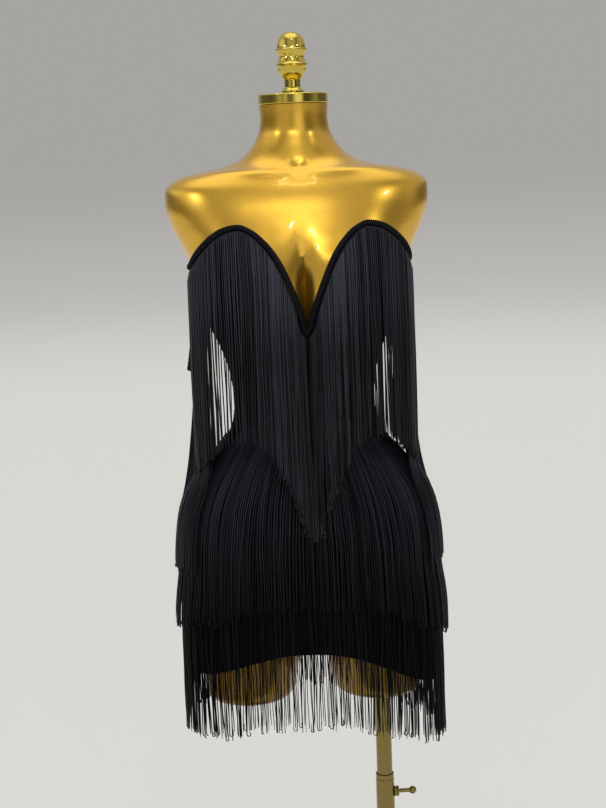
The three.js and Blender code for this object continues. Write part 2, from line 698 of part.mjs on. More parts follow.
function sideFringe(side) {
  const top = WING.bottom - SEAM_GAP;
  const turns = WING.turns.map((turn) => side * turn * DEG);
  if (side < 0) turns.reverse();
  const columns = turns.map((turn) => ({
    foot: { turn, z: top - FRINGE.strip },
    head: { turn, z: top },
  }));
  const place = (turn, z, grow) => sidePlace(turn, z, grow).at;
  const strip = wall(columns, [0, 1], 0, FRINGE.stripDepth, place);
  const last = SIDE_LOCKS.count - 1;
  const locks = Array.from({ length: SIDE_LOCKS.count }, (unused, i) => {
    const turn = side * THREE.MathUtils.lerp(SIDE_LOCKS.first, SIDE_LOCKS.last, i / last) * DEG;
    return lock(sideWay(turn), SIDE_LOCKS.width, FRINGE.lockDepth);
  });
  return fringe(strip, locks);
}

// Share of the way around the body, even in width, turned into an angle.
function evenTurns(from, to, count, z) {
  const fine = spaced(from, to, EVEN_STEPS);
  const run = [0];
  for (let i = 1; i < fine.length; i += 1) {
    const [ax, ay] = bodyXY(fine[i - 1] * DEG, z, 0);
    const [bx, by] = bodyXY(fine[i] * DEG, z, 0);
    run.push(run[i - 1] + Math.hypot(bx - ax, by - ay));
  }
  return Array.from({ length: count }, (unused, k) => {
    const goal = (run[EVEN_STEPS] * (k + 0.5)) / count;
    let i = 0;
    while (run[i + 1] < goal) i += 1;
    const u = (goal - run[i]) / (run[i + 1] - run[i]);
    return (fine[i] + (fine[i + 1] - fine[i]) * u) * DEG;
  });
}

function roundFringe(from, to, seam, shape, growAt) {
  const stripColumns = columnsBetween(
    spaced(from, to, FRINGE.stripColumns).map((turn) => turn * DEG),
    arched(seam, FRINGE.strip),
    arched(seam),
  );
  const strip = wall(stripColumns, [0, 1], STRIP_INNER, STRIP_OUTER);
  const locks = evenTurns(from, to, shape.count, shape.evenAt).map((turn) => {
    const top = archAt(seam, turn) - FRINGE.strip / 2;
    const way = clingingWay(turn, top, growAt, shape.tolerance);
    return lock(way, shape.width, FRINGE.lockDepth);
  });
  return fringe(strip, locks);
}

// Dress form: torso and two thigh stumps joined, with a socket for the rod.
function torsoRing(z, shrink) {
  const slack = TORSO.slack * below({ start: TORSO.slackStart, full: TORSO.slackFull }, z);
  return anglesAround(TORSO.columns)
    .map((turn) => bodyPoint(turn, z, -slack, 0))
    .map((point) => {
      point.x *= shrink;
      point.y *= shrink;
      return point;
    });
}

function stumpSolid(side) {
  const rings = STUMP.map((row) => anglesAround(STUMP_SIDES).map((angle) => new THREE.Vector3(
    side * row.x + row.half * Math.cos(angle),
    ROD.y + row.depth * Math.sin(angle),
    row.z,
  )));
  return toSolid(loft(rings));
}

function torso() {
  const heights = SECTIONS.map((row) => row.z).filter((z) => z >= TORSO.crotch);
  const rings = heights.map((z) => torsoRing(z, 1));
  CROTCH_RINGS.forEach((row) => rings.push(torsoRing(row.z, row.shrink)));
  const socketTop = ROD.top + SOCKET.headroom;
  const bottom = STUMP[0].z - SOCKET.below;
  const profile = [[SOCKET.radius, bottom], [SOCKET.radius, socketTop]];
  const socket = toSolid(turned(profile, SOCKET.sides, ROD.x, ROD.y));
  const whole = toSolid(loft(rings)).add(stumpSolid(-1)).add(stumpSolid(1));
  return toGeometry(whole.subtract(socket));
}

function neckCap() {
  const low = TORSO.top + SEAM_GAP;
  const high = low + CAP.height;
  return turned([
    [CAP.radius - CAP.edge, low],
    [CAP.radius, low + CAP.edge],
    [CAP.radius, high - CAP.edge],
    [CAP.radius - CAP.edge, high],
  ], CAP.sides);
}

function finial() {
  const foot = TORSO.top + CAP.height + 2 * SEAM_GAP;
  const tip = 0.05;
  return turned(FINIAL.map((row) => [Math.max(row.r, tip), foot + row.up]), FINIAL_SIDES);
}

function rod() {
  return turned([
    [ROD.radius - ROD.bevel, ROD.bottom],
    [ROD.radius, ROD.bottom + ROD.bevel],
    [ROD.radius, ROD.top - ROD.bevel],
    [ROD.radius - ROD.bevel, ROD.top],
  ], ROD.sides, ROD.x, ROD.y);
}

// Round piece along X from the rod's axis outwards.
function turnedAlongX(profile, sides, z) {
  const geometry = turned(profile, sides);
  geometry.rotateY(Math.PI / 2);
  geometry.translate(ROD.x, ROD.y, z);
  return geometry;
}

function poleTube() {
  const low = PLATE.thickness + SEAM_GAP;
  const foot = low + TUBE.footHeight;
  const clear = 5;
  const body = toSolid(turned([
    [TUBE.footRadius, low],
    [TUBE.footRadius, foot - TUBE.footEdge],
    [TUBE.footRadius - TUBE.footEdge, foot],
    [TUBE.outer, foot + TUBE.footEdge / 2],
    [TUBE.outer, TUBE.top],
  ], TUBE.sides, ROD.x, ROD.y));
  const bossRows = [[BOSS.radius, BOSS.start], [BOSS.radius, BOSS.reach]];
  const boreRows = [[TUBE.inner, foot], [TUBE.inner, TUBE.top + clear]];
  const tapRows = [[BOSS.bore, BOSS.start], [BOSS.bore, BOSS.reach + clear]];
  const boss = toSolid(turnedAlongX(bossRows, BOSS.sides, BOSS.z));
  const bore = toSolid(turned(boreRows, TUBE.sides, ROD.x, ROD.y));
  const tapped = toSolid(turnedAlongX(tapRows, BOSS.sides, BOSS.z));
  return toGeometry(body.add(boss).subtract(bore).subtract(tapped));
}

function clampScrew() {
  const neck = SCREW.ballCentre - Math.sqrt(SCREW.ballRadius ** 2 - SCREW.radius ** 2);
  const profile = [[SCREW.radius, SCREW.tip], [SCREW.radius, neck]];
  const start = Math.asin(SCREW.radius / SCREW.ballRadius);
  const tipAngle = 0.02;
  spaced(Math.PI - start, tipAngle, SCREW.ballRings).slice(1).forEach((angle) => profile.push([
    SCREW.ballRadius * Math.sin(angle),
    SCREW.ballCentre + SCREW.ballRadius * Math.cos(angle),
  ]));
  return turnedAlongX(profile, SCREW.sides, BOSS.z);
}

function basePlate() {
  return turned([
    [PLATE.radius - PLATE.footEdge, 0],
    [PLATE.radius, PLATE.footEdge],
    [PLATE.radius, PLATE.thickness - PLATE.edge],
    [PLATE.radius - PLATE.edge, PLATE.thickness],
  ], PLATE.sides);
}

const frontTurns = [...FRONT_TURNS.slice(1).reverse().map((t) => -t), ...FRONT_TURNS];
const frontShare = 0.998;
const bindingFront = binding(frontTurns.map((turn) => turn * DEG * frontShare));
const backTurns = spaced(BINDING_BACK.from, BINDING_BACK.to, BINDING_BACK.columns);
const bindingBack = binding(backTurns.map((turn) => turn * DEG));

const pieces = [
  ['base_plate', basePlate(), POLE_GOLD],
  ['pole_tube', poleTube(), POLE_GOLD],
  ['clamp_screw', clampScrew(), POLE_GOLD],
  ['pole_rod', rod(), POLE_GOLD],
  ['form_torso', torso(), GOLD_FORM],
  ['neck_cap', neckCap(), POLISHED],
  ['neck_finial', finial(), POLISHED],
  ['bodice_front_left', frontPanel(1), BLACK_CLOTH],
  ['bodice_front_right', frontPanel(-1), BLACK_CLOTH],
  ['bodice_back', backPanel(), BLACK_CLOTH],
  ['skirt_front', skirtPanel(-90, 90), BLACK_CLOTH],
  ['skirt_back', skirtPanel(90, 270), BLACK_CLOTH],
  ['neck_binding_front', bindingFront, BLACK_TRIM],
  ['neck_binding_back', bindingBack, BLACK_TRIM],
  ['side_wing_left', wing(1), BLACK_CLOTH],
  ['side_wing_right', wing(-1), BLACK_CLOTH],
  ['fringe_neck_left', neckFringe(1), BLACK_FRINGE],
  ['fringe_neck_right', neckFringe(-1), BLACK_FRINGE],
  ['fringe_side_left', sideFringe(1), BLACK_FRINGE],
  ['fringe_side_right', sideFringe(-1), BLACK_FRINGE],
  ['fringe_hip_front', roundFringe(-90, 90, HIP_SEAM, HIP_LOCKS, hipGrow), BLACK_FRINGE],
  ['fringe_hip_back', roundFringe(90, 270, HIP_SEAM, HIP_LOCKS, hipGrow), BLACK_FRINGE],
  ['fringe_hem_front', roundFringe(-90, 90, HEM_SEAM, HEM_LOCKS, hemGrow), BLACK_FRINGE],
  ['fringe_hem_back', roundFringe(90, 270, HEM_SEAM, HEM_LOCKS, hemGrow), BLACK_FRINGE],
];

const group = new THREE.Group();
pieces.forEach(([name, geometry, finish]) => {
  const mesh = new THREE.Mesh(geometry, finish);
  mesh.name = name;
  group.add(mesh);
});

export default group;
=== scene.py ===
import math
import random

import bpy
import numpy as np
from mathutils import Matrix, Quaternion, Vector


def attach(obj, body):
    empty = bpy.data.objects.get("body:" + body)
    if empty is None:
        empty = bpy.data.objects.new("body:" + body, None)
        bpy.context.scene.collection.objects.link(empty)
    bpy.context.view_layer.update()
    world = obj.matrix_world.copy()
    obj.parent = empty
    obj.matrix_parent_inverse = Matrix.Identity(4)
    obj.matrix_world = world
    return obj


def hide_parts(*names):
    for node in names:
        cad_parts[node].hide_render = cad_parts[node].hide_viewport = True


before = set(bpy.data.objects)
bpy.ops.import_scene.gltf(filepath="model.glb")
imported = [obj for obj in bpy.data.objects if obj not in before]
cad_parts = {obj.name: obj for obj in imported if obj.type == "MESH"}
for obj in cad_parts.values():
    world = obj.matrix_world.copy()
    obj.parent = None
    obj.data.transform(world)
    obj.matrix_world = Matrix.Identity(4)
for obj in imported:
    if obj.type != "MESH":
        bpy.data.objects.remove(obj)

# Fringed mini dress on a gold dress form: the visible model, in metres.
# Shapes are worked out in millimetres, front towards -Y, and scaled by MM when placed.
MM = 0.001
DEG = math.pi / 180
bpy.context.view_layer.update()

# Camera
CAMERA = {"distance": 2.24, "height": 1.37, "yaw": 4.0, "aim_x": -0.002, "aim_z": 1.0206, "roll": -2.15}
LENS_MM = 70.6
SENSOR_MM = 36.0


def placed(name, data):
    """New object for some data, linked to the scene."""
    obj = bpy.data.objects.new(name, data)
    bpy.context.scene.collection.objects.link(obj)
    return obj


def make_camera():
    """Camera a little above the bust, turned slightly towards the wearer's right."""
    yaw = CAMERA["yaw"] * DEG
    back = Vector((-math.sin(yaw), -math.cos(yaw), 0.0))
    data = bpy.data.cameras.new("photo_camera")
    data.sensor_width = SENSOR_MM
    data.lens = LENS_MM
    camera = placed("photo_camera", data)
    camera.location = back * CAMERA["distance"] + Vector((0, 0, CAMERA["height"]))
    aim = Vector((CAMERA["aim_x"], 0, CAMERA["aim_z"])) - camera.location
    turn = Quaternion((0, 0, 1), CAMERA["roll"] * DEG)
    camera.rotation_mode = "QUATERNION"
    camera.rotation_quaternion = aim.to_track_quat("-Z", "Y") @ turn
    bpy.context.scene.camera = camera


make_camera()

# Dress form sections: height, half width, front depth, back depth, squareness
SECTIONS = [
    (1442, 48, 48, 48, 2.0), (1425, 47, 47, 48, 2.0), (1408, 49, 47, 50, 2.0),
    (1394, 55, 50, 55, 2.0), (1380, 65, 54, 60, 2.0), (1367, 81, 59, 66, 2.0),
    (1358, 106, 64, 72, 2.05), (1351, 146, 69, 79, 2.15), (1343, 170, 74, 85, 2.25),
    (1328, 184, 81, 92, 2.35), (1306, 185, 89, 98, 2.4), (1280, 178, 96, 102, 2.4),
    (1257, 168, 101, 103, 2.35), (1226, 153, 105, 101, 2.3), (1190, 141, 106, 97, 2.25),
    (1150, 132, 102, 91, 2.2), (1110, 114, 94, 83, 2.15), (1070, 101.5, 85, 75, 2.1),
    (1030, 97, 79, 70, 2.1), (1005, 99.5, 78, 70, 2.1), (985, 107, 79, 73, 2.1),
    (965, 121, 82, 80, 2.15), (945, 135, 86, 89, 2.2), (925, 148, 90, 98, 2.2),
    (900, 160, 94, 107, 2.25), (870, 170, 98, 114, 2.25), (835, 175, 101, 119, 2.3),
    (790, 178, 102, 120, 2.3), (740, 181, 101, 114, 2.3), (700, 181, 99, 108, 2.3),
    (650, 180, 99, 106, 2.3), (480, 180, 99, 106, 2.3),
]
NECK_TOP = 1442
CROTCH = 700
FORM_SLACK = {"most": 1.3, "start": 1330, "full": 1295}
BUST = {"x": 76, "z": 1203, "height": 27, "spread": 50, "drop": 54, "fade": 4}
VALLEY_FILL = 0.55
STUMP = [
    (595, 94, 50, 58), (597, 94, 58, 66), (603, 94, 64, 73), (614, 94, 67, 77),
    (640, 93, 70, 80), (680, 91, 75, 85), (715, 88, 78, 87), (760, 84, 70, 80),
]
STUMP_SPREAD = 1.6
CROTCH_RINGS = ((-5, 0.98), (-4, 0.94), (-3, 0.86))
ROD = {"x": 100, "y": 5, "radius": 11.5, "bottom": 150, "top": 702}
SOCKET = {"radius": 12.4, "bottom": 560, "top": 702.3}

# Cloth, neckline, seams and fringe
CLOTH_MIDDLE = 2.05
CLOTH_THICK = 1.7
WAIST = 1004
NECKLINE = [
    (0, 1133), (4, 1141), (9, 1162), (15, 1181), (24, 1205), (35, 1229), (46, 1247),
    (56, 1259), (71, 1272), (88, 1279), (106, 1276), (122, 1267), (138, 1252),
    (148, 1238), (155, 1223),
]
BACK_NECK = {"side": 1223, "middle": 1212}
NECK_SETTLE = {"passes": 40, "share": 0.35, "grow": 2.9, "reach": 0.6}
BINDING = {
    "half_width": 4.1, "half_depth": 2.6, "lift": 3.4, "cloth_gap": 0.15, "fringe_gap": 0.3,
    "corners": 14, "relief": 0.45, "twist": 2.8,
}
HEM = {"side": 630, "front": 50, "back": 36, "power": 4.2, "tilt": 17}
HIP_SEAM = {"side": 968, "front": 65, "back": 46, "power": 2.6, "tilt": 11.5}
HEM_SEAM = {"side": 826, "front": 32, "back": 24, "power": 4, "tilt": 16}
WING = {
    "start": 57, "end": 117, "below": 17, "bottom": 1075, "grow": 3.9, "thick": 1.1,
    "flare": 15, "bend": 1.6, "rib": 0.8,
}
WING_FLARE = {"start": 84, "full": 97, "fold_start": 106, "fold_full": 117, "folded": 0.6}
OVER_WING = {"lift": 2.8, "start": 50, "full": 56, "near": 1, "far": 8}
FRINGE_LENGTH = 286
HEADING = {"height": 5, "middle": 5.0, "thick": 1.6}
LOCK_GROW = 5.5
NECK_DROP = BINDING["half_width"] + BINDING["fringe_gap"] + HEADING["height"] / 2
OVER_HIP = {"grow": 13.5, "start": 1120, "full": 960}
OVER_SIDE = {"grow": 15.5, "start": 980, "full": 900}
SIDE_SPREAD = [
    (1075, 4), (1055, 6), (1010, 9.5), (968, 14), (925, 21), (880, 31), (835, 38), (786, 39.5),
]
SPREAD_FROM = {"start": 86, "full": 98}
OVER_HEM = {"grow": 10.4, "start": 960, "full": 880}
LOW_FLARE = {"grow": 5, "start": 790, "full": 700}
HEM_FLARE = {"grow": 3, "start": 760, "full": 620}


def curve_through(xs, ys):
    """Smooth curve through a table, with no overshoot between its rows."""
    last = len(xs) - 1
    step = [(ys[i + 1] - ys[i]) / (xs[i + 1] - xs[i]) for i in range(last)]
    slope = [step[0]]
    for i in range(1, last):
        rising = step[i - 1] * step[i] > 0
        slope.append(2 * step[i - 1] * step[i] / (step[i - 1] + step[i]) if rising else 0)
    slope.append(step[-1])

    def value(x):
        x = min(max(x, xs[0]), xs[last])
        i = 0
        while i < last - 1 and x > xs[i + 1]:
            i += 1
        width = xs[i + 1] - xs[i]
        u = (x - xs[i]) / width
        rise = (2 * u - 3) * u * u + 1
        lead = ((u - 2) * u + 1) * u
        trail = (u - 1) * u * u
        return rise * ys[i] + (1 - rise) * ys[i + 1] + width * (lead * slope[i] + trail * slope[i + 1])

    return value


def height_table(rows, column):
    """One value for each millimetre of height, read between by straight lines."""
    rows = sorted(rows)
    curve = curve_through([r[0] for r in rows], [r[column] for r in rows])
    low = rows[0][0]
    values = [curve(z) for z in range(low, rows[-1][0] + 1)]
    top = len(values) - 2

    def value(z):
        at = min(max(z - low, 0), top + 0.999)
        i = int(at)
        return values[i] + (values[i + 1] - values[i]) * (at - i)

    return value


half_at = height_table(SECTIONS, 1)
front_at = height_table(SECTIONS, 2)
back_at = height_table(SECTIONS, 3)
power_at = height_table(SECTIONS, 4)
neckline_at = curve_through([r[0] for r in NECKLINE], [r[1] for r in NECKLINE])


def smooth(low, high, value):
    """0 below low, 1 above high, with a smooth step between."""
    u = min(max((value - low) / (high - low), 0), 1)
    return u * u * (3 - 2 * u)


def lerp(a, b, u):
    return a + (b - a) * u


def run_along(spots):
    """Length travelled at each point of a way, from its first."""
    steps = np.linalg.norm(np.diff(np.array(spots), axis=0), axis=1)
    return np.concatenate([[0], np.cumsum(steps)])


def unit_rows(rows):
    return rows / np.linalg.norm(rows, axis=1)[:, None]


def uv_pairs(first, second):
    return np.stack(np.broadcast_arrays(first, second), -1)


def rings_round(spots, across, out, wide, deep):
    """Rings round a way: wide and deep are each corner's distances in the two directions."""
    return spots[:, None, :] + across[:, None, :] * wide[..., None] + out[:, None, :] * deep[..., None]


def bust_height(x, z, fill):
    side = abs(x)
    lift = math.exp(-(((z - BUST["z"]) / BUST["drop"]) ** 2)) * BUST["height"]
    mound = math.exp(-(((side - BUST["x"]) / BUST["spread"]) ** 2))
    return lift * (mound + (1 - mound) * fill if side < BUST["x"] else mound)


def body_xy(turn, z, fill):
    """Point of the body at a turn from the front middle, towards +X."""
    sin = math.sin(turn)
    cos = math.cos(turn)
    bend = 2 / power_at(z)
    x = half_at(z) * math.copysign(abs(sin) ** bend, sin)
    reach = front_at(z) if cos > 0 else back_at(z)
    y = -reach * math.copysign(abs(cos) ** bend, cos)
    if cos > 0:
        y -= bust_height(x, z, fill) * min(1, cos * BUST["fade"])
    return x, y


TURN_STEP = 0.004


def sideways(turn, z, fill):
    """Unit direction round the body, and the run in one radian."""
    ax, ay = body_xy(turn - TURN_STEP, z, fill)
    bx, by = body_xy(turn + TURN_STEP, z, fill)
    run = math.hypot(bx - ax, by - ay)
    return (bx - ax) / run, (by - ay) / run, run / (2 * TURN_STEP)


def body_point(turn, z, grow, fill=VALLEY_FILL):
    x, y = body_xy(turn, z, fill)
    sx, sy, _ = sideways(turn, z, fill)
    return x + sy * grow, y - sx * grow, z


def arch(line, turn, lower=0):
    cos = math.cos(turn)
    rise = line["front"] if cos > 0 else line["back"]
    return line["side"] + rise * abs(cos) ** line["power"] - line["tilt"] * math.sin(turn) - lower


def solve_neck(turn):
    z = BACK_NECK["side"]
    for _ in range(NECK_SETTLE["passes"]):
        x = abs(body_point(turn, z, NECK_SETTLE["grow"])[0])
        z += (neckline_at(x) - z) * NECK_SETTLE["share"]
    return z


NECK_STEP = 0.25
neck_table = [solve_neck(i * NECK_STEP * DEG) for i in range(int(90 / NECK_STEP) + 3)]


def neck_z(turn):
    """Height of the binding's middle line at a turn."""
    around = abs(turn)
    if around > math.pi / 2:
        return lerp(BACK_NECK["side"], BACK_NECK["middle"], math.cos(around) ** 2)
    at = around / DEG / NECK_STEP
    i = int(at)
    return lerp(neck_table[i], neck_table[i + 1], at - i)


def neck_below(turn, distance):
    """The neckline moved down the cloth, square to its own run; turn is 0 or more."""
    reach = NECK_SETTLE["reach"] * DEG
    z = neck_z(turn)
    scale = sideways(turn, z, VALLEY_FILL)[2]
    run = 2 * reach * scale
    rise = neck_z(turn + reach) - neck_z(abs(turn - reach))
    length = math.hypot(run, rise)
    return max(turn + rise / length * distance / scale, 0), z - run / length * distance


# Mesh helpers
def deselect():
    if bpy.context.object and bpy.context.object.mode != "OBJECT":
        bpy.ops.object.mode_set(mode="OBJECT")
    bpy.ops.object.select_all(action="DESELECT")


def activate(obj):
    deselect()
    obj.select_set(True)
    bpy.context.view_layer.objects.active = obj


def in_edit(obj, *steps):
    """Runs edit-mode steps on the whole of one mesh."""
    activate(obj)
    bpy.ops.object.mode_set(mode="EDIT")
    bpy.ops.mesh.select_all(action="SELECT")
    for step in steps:
        step()
    bpy.ops.object.mode_set(mode="OBJECT")


def apply_all(obj):
    activate(obj)
    for modifier in list(obj.modifiers):
        bpy.ops.object.modifier_apply(modifier=modifier.name)


def shade(obj, angle=None):
    activate(obj)
    if angle is None:
        bpy.ops.object.shade_smooth()
    else:
        bpy.ops.object.shade_smooth_by_angle(angle=angle * DEG)


def weld(distance=0.00002):
    bpy.ops.mesh.remove_doubles(threshold=distance)


def recalc():
    bpy.ops.mesh.select_all(action="SELECT")
    bpy.ops.mesh.normals_make_consistent(inside=False)


def close_holes():
    bpy.ops.mesh.select_all(action="DESELECT")
    bpy.ops.mesh.select_non_manifold()
    bpy.ops.mesh.fill_holes(sides=0)


def grid_on(name, columns, rows, place):
    """Grid whose points go where place(u, v) says; its UVs keep u and v."""
    deselect()
    bpy.ops.mesh.primitive_grid_add(x_subdivisions=columns, y_subdivisions=rows, size=2)
    obj = bpy.context.object
    obj.name = name
    for vertex in obj.data.vertices:
        u = (vertex.co.x + 1) / 2
        v = (vertex.co.y + 1) / 2
        vertex.co = Vector(place(u, v)) * MM
    return obj


def thicken(obj, thickness):
    modifier = obj.modifiers.new("thickness", "SOLIDIFY")
    modifier.thickness = thickness * MM
    modifier.offset = 0
    modifier.use_even_offset = True
    apply_all(obj)


def union(obj, other, operation="UNION"):
    modifier = obj.modifiers.new("join", "BOOLEAN")
    modifier.operation = operation
    modifier.object = other
    modifier.solver = "EXACT"
    apply_all(obj)
    bpy.data.objects.remove(other)


def lathe(name, profile, steps=96, axis="Z", centre=(0, 0, 0)):
    """Turned piece: profile rows are radius and place along the axis, in millimetres."""
    if axis == "Z":
        points = [(centre[0] + r, centre[1], centre[2] + d) for r, d in profile]
        direction = (0, 0, 1)
    else:
        points = [(centre[0] + d, centre[1], centre[2] + r) for r, d in profile]
        direction = (1, 0, 0)
    deselect()
    mesh = bpy.data.meshes.new(name)
    edges = [(i, i + 1) for i in range(len(points) - 1)]
    mesh.from_pydata([Vector(p) * MM for p in points], edges, [])
    obj = placed(name, mesh)
    middle = Vector(centre) * MM
    in_edit(
        obj,
        lambda: bpy.ops.mesh.spin(steps=steps, angle=2 * math.pi, center=middle, axis=direction),
        lambda: bpy.ops.mesh.select_all(action="SELECT"),
        lambda: weld(0.00001),
        recalc,
    )
    return obj


def rounded(rows, soften=0.6, parts=3):
    """Profile with each inner corner cut into a small arc."""
    out = [rows[0]]
    for before, here, after in zip(rows, rows[1:], rows[2:]):
        a = Vector(before) - Vector(here)
        b = Vector(after) - Vector(here)
        reach = min(soften, a.length * 0.45, b.length * 0.45)
        start = Vector(here) + a.normalized() * reach
        end = Vector(here) + b.normalized() * reach
        for k in range(parts + 1):
            u = k / parts
            spot = start * (1 - u) ** 2 + Vector(here) * 2 * u * (1 - u) + end * u * u
            out.append(tuple(spot))
    out.append(rows[-1])
    return out


# Stand
PLATE = {"radius": 200, "thickness": 6}
TUBE = {
    "outer": 13.5, "inner": 12, "top": 458, "low": 6.3,
    "foot_radius": 28, "foot_edge": 11, "foot_top": 13.3, "foot_slope": 5,
}
TUBE_WELD = {"wide": 1.2, "low": 1.4, "high": 5}
TUBE_GROOVE = [(8.6, 0), (8, 0.5), (7.2, 0.5), (6.6, 0)]
CLAMP = {
    "z": 428, "boss_bore": 3.6, "boss_radius": 7.8, "boss_start": 13.0, "boss_end": 20,
    "shaft": 3, "point": 0.6, "tip": 12.1, "ball": 5.8, "ball_at": 41,
}
CLAMP_GROOVE = [(16.2, 0), (17.2, 0.9), (18.2, 0)]

base = lathe("stand_base", rounded([
    (0, 0), (PLATE["radius"], 0), (PLATE["radius"], PLATE["thickness"]), (0, PLATE["thickness"]),
], 1.6, 4), 160)

tube = lathe("stand_tube", rounded([
    (TUBE["inner"], TUBE["low"]), (TUBE["foot_radius"], TUBE["low"]),
    (TUBE["foot_radius"], TUBE["foot_edge"]), (TUBE["foot_radius"] - TUBE["foot_slope"], TUBE["foot_top"]),
    (TUBE["outer"] + TUBE_WELD["wide"], TUBE["foot_top"] + TUBE_WELD["low"]),
    (TUBE["outer"], TUBE["foot_top"] + TUBE_WELD["high"]),
    *((TUBE["outer"] - cut, TUBE["top"] - down) for down, cut in TUBE_GROOVE),
    (TUBE["outer"], TUBE["top"]), (TUBE["inner"], TUBE["top"]), (TUBE["inner"], TUBE["low"]),
], 0.4), 64, centre=(ROD["x"], ROD["y"], 0))

boss = lathe("clamp_boss", rounded([
    (CLAMP["boss_bore"], CLAMP["boss_start"]), (CLAMP["boss_radius"], CLAMP["boss_start"]),
    *((CLAMP["boss_radius"] - cut, at) for at, cut in CLAMP_GROOVE),
    (CLAMP["boss_radius"], CLAMP["boss_end"]), (CLAMP["boss_bore"], CLAMP["boss_end"]),
    (CLAMP["boss_bore"], CLAMP["boss_start"]),
], 0.4), 48, "X", (ROD["x"], ROD["y"], CLAMP["z"]))

ball_rows = []
BALL_PARTS = 14
neck_angle = math.asin(CLAMP["shaft"] / CLAMP["ball"])
for k in range(BALL_PARTS + 1):
    angle = lerp(math.pi - neck_angle, 0, k / BALL_PARTS)
    ball_rows.append((CLAMP["ball"] * math.sin(angle), CLAMP["ball_at"] + CLAMP["ball"] * math.cos(angle)))
screw = lathe("clamp_screw_ball", [
    (0, CLAMP["tip"]), (CLAMP["shaft"] - CLAMP["point"], CLAMP["tip"]),
    (CLAMP["shaft"], CLAMP["tip"] + CLAMP["point"]),
] + ball_rows, 40, "X", (ROD["x"], ROD["y"], CLAMP["z"]))

rod = lathe("stand_rod", rounded([
    (0, ROD["bottom"]), (ROD["radius"], ROD["bottom"]), (ROD["radius"], ROD["top"]), (0, ROD["top"]),
], 1.0), 64, centre=(ROD["x"], ROD["y"], 0))

# Dress form
FORM_COLUMNS = 160
FORM_ROWS = 150


def form_heights(count):
    """Heights from neck to crotch, close together where the shoulders lie flat."""
    fine = [NECK_TOP - 0.5 * i for i in range(int((NECK_TOP - CROTCH) / 0.5) + 1)]
    run = [0.0]
    for a, b in zip(fine, fine[1:]):
        run.append(run[-1] + math.hypot(half_at(b) - half_at(a), b - a))
    goals = [run[-1] * i / count for i in range(count + 1)]
    return [float(z) for z in np.interp(goals, run, fine)]


heights = form_heights(FORM_ROWS)
COLLAR = {"height": 3.6, "z": 1353, "x": 78, "rise": 0.05, "wide": 62, "thick": 6}
THROAT = {"depth": 5.0, "z": 1355, "wide": 11, "tall": 11}
CLEFT = {"depth": 8, "wide": 9.5, "start": 1290, "full": 1190}


def chest_detail(x, y, z):
    """Collar bones, the hollow of the throat and the cleft of the bust, as a change in depth."""
    if y > 0:
        return 0.0
    side = abs(x)
    line = COLLAR["z"] + COLLAR["rise"] * (side - COLLAR["x"])
    ridge = math.exp(-(((z - line) / COLLAR["thick"]) ** 2))
    ridge *= math.exp(-(((side - COLLAR["x"]) / COLLAR["wide"]) ** 4))
    hollow = math.exp(-(((z - THROAT["z"]) / THROAT["tall"]) ** 2)) * math.exp(-((x / THROAT["wide"]) ** 2))
    cleft = smooth(-CLEFT["start"], -CLEFT["full"], -z) * math.exp(-((x / CLEFT["wide"]) ** 2))
    return COLLAR["height"] * ridge - THROAT["depth"] * hollow - CLEFT["depth"] * cleft


def form_place(u, v):
    turn = u * 2 * math.pi
    z = heights[round((1 - v) * FORM_ROWS)]
    slack = FORM_SLACK["most"] * smooth(-FORM_SLACK["start"], -FORM_SLACK["full"], -z)
    x, y, z = body_point(turn, z, -slack, 0)
    return x, y - chest_detail(x, y, z), z


form = grid_on("form_body", FORM_COLUMNS, FORM_ROWS, form_place)
in_edit(form, weld)


def stump_place(side):
    curve = [curve_through([r[0] for r in STUMP], [r[k] for r in STUMP]) for k in (1, 2, 3)]
    low = STUMP[0][0]
    high = STUMP[-1][0]

    def place(u, v):
        z = lerp(low, high, v ** STUMP_SPREAD)
        middle, half, depth = (c(z) for c in curve)
        angle = u * 2 * math.pi
        return side * middle + half * math.cos(angle), ROD["y"] + depth * math.sin(angle), z

    return place


def close_up(obj):
    in_edit(obj, weld, close_holes, recalc)


def crotch_rings(obj):
    """Rounds the underside of the torso in between the thighs."""
    activate(obj)
    bpy.ops.object.mode_set(mode="EDIT")
    bpy.ops.mesh.select_all(action="DESELECT")
    bpy.ops.object.mode_set(mode="OBJECT")
    edge = min(v.co.z for v in obj.data.vertices) + 0.0005
    for vertex in obj.data.vertices:
        vertex.select = vertex.co.z < edge
    bpy.ops.object.mode_set(mode="EDIT")
    for down, size in CROTCH_RINGS:
        bpy.ops.mesh.extrude_region_move(TRANSFORM_OT_translate={"value": (0, 0, down * MM)})
        bpy.ops.transform.resize(value=(size, size, 1), center_override=(0, 0, 0))
    bpy.ops.object.mode_set(mode="OBJECT")


crotch_rings(form)
close_up(form)
for stump_side in (-1, 1):
    stump = grid_on("thigh", 72, 26, stump_place(stump_side))
    close_up(stump)
    union(form, stump)
socket = lathe("socket", [
    (0, SOCKET["bottom"]), (SOCKET["radius"], SOCKET["bottom"]),
    (SOCKET["radius"], SOCKET["top"]), (0, SOCKET["top"]),
], 48, centre=(ROD["x"], ROD["y"], 0))
union(form, socket, "DIFFERENCE")

CAP = {"radius": 48.5, "low": 1442.3, "height": 14.5, "edge": 1.2}
cap = lathe("neck_cap_disc", rounded([
    (0, CAP["low"]), (CAP["radius"] - CAP["edge"], CAP["low"]),
    (CAP["radius"], CAP["low"] + CAP["edge"]), (CAP["radius"], CAP["low"] + CAP["height"] - CAP["edge"]),
    (CAP["radius"] - CAP["edge"], CAP["low"] + CAP["height"]), (0, CAP["low"] + CAP["height"]),
], 0.9, 4), 128)

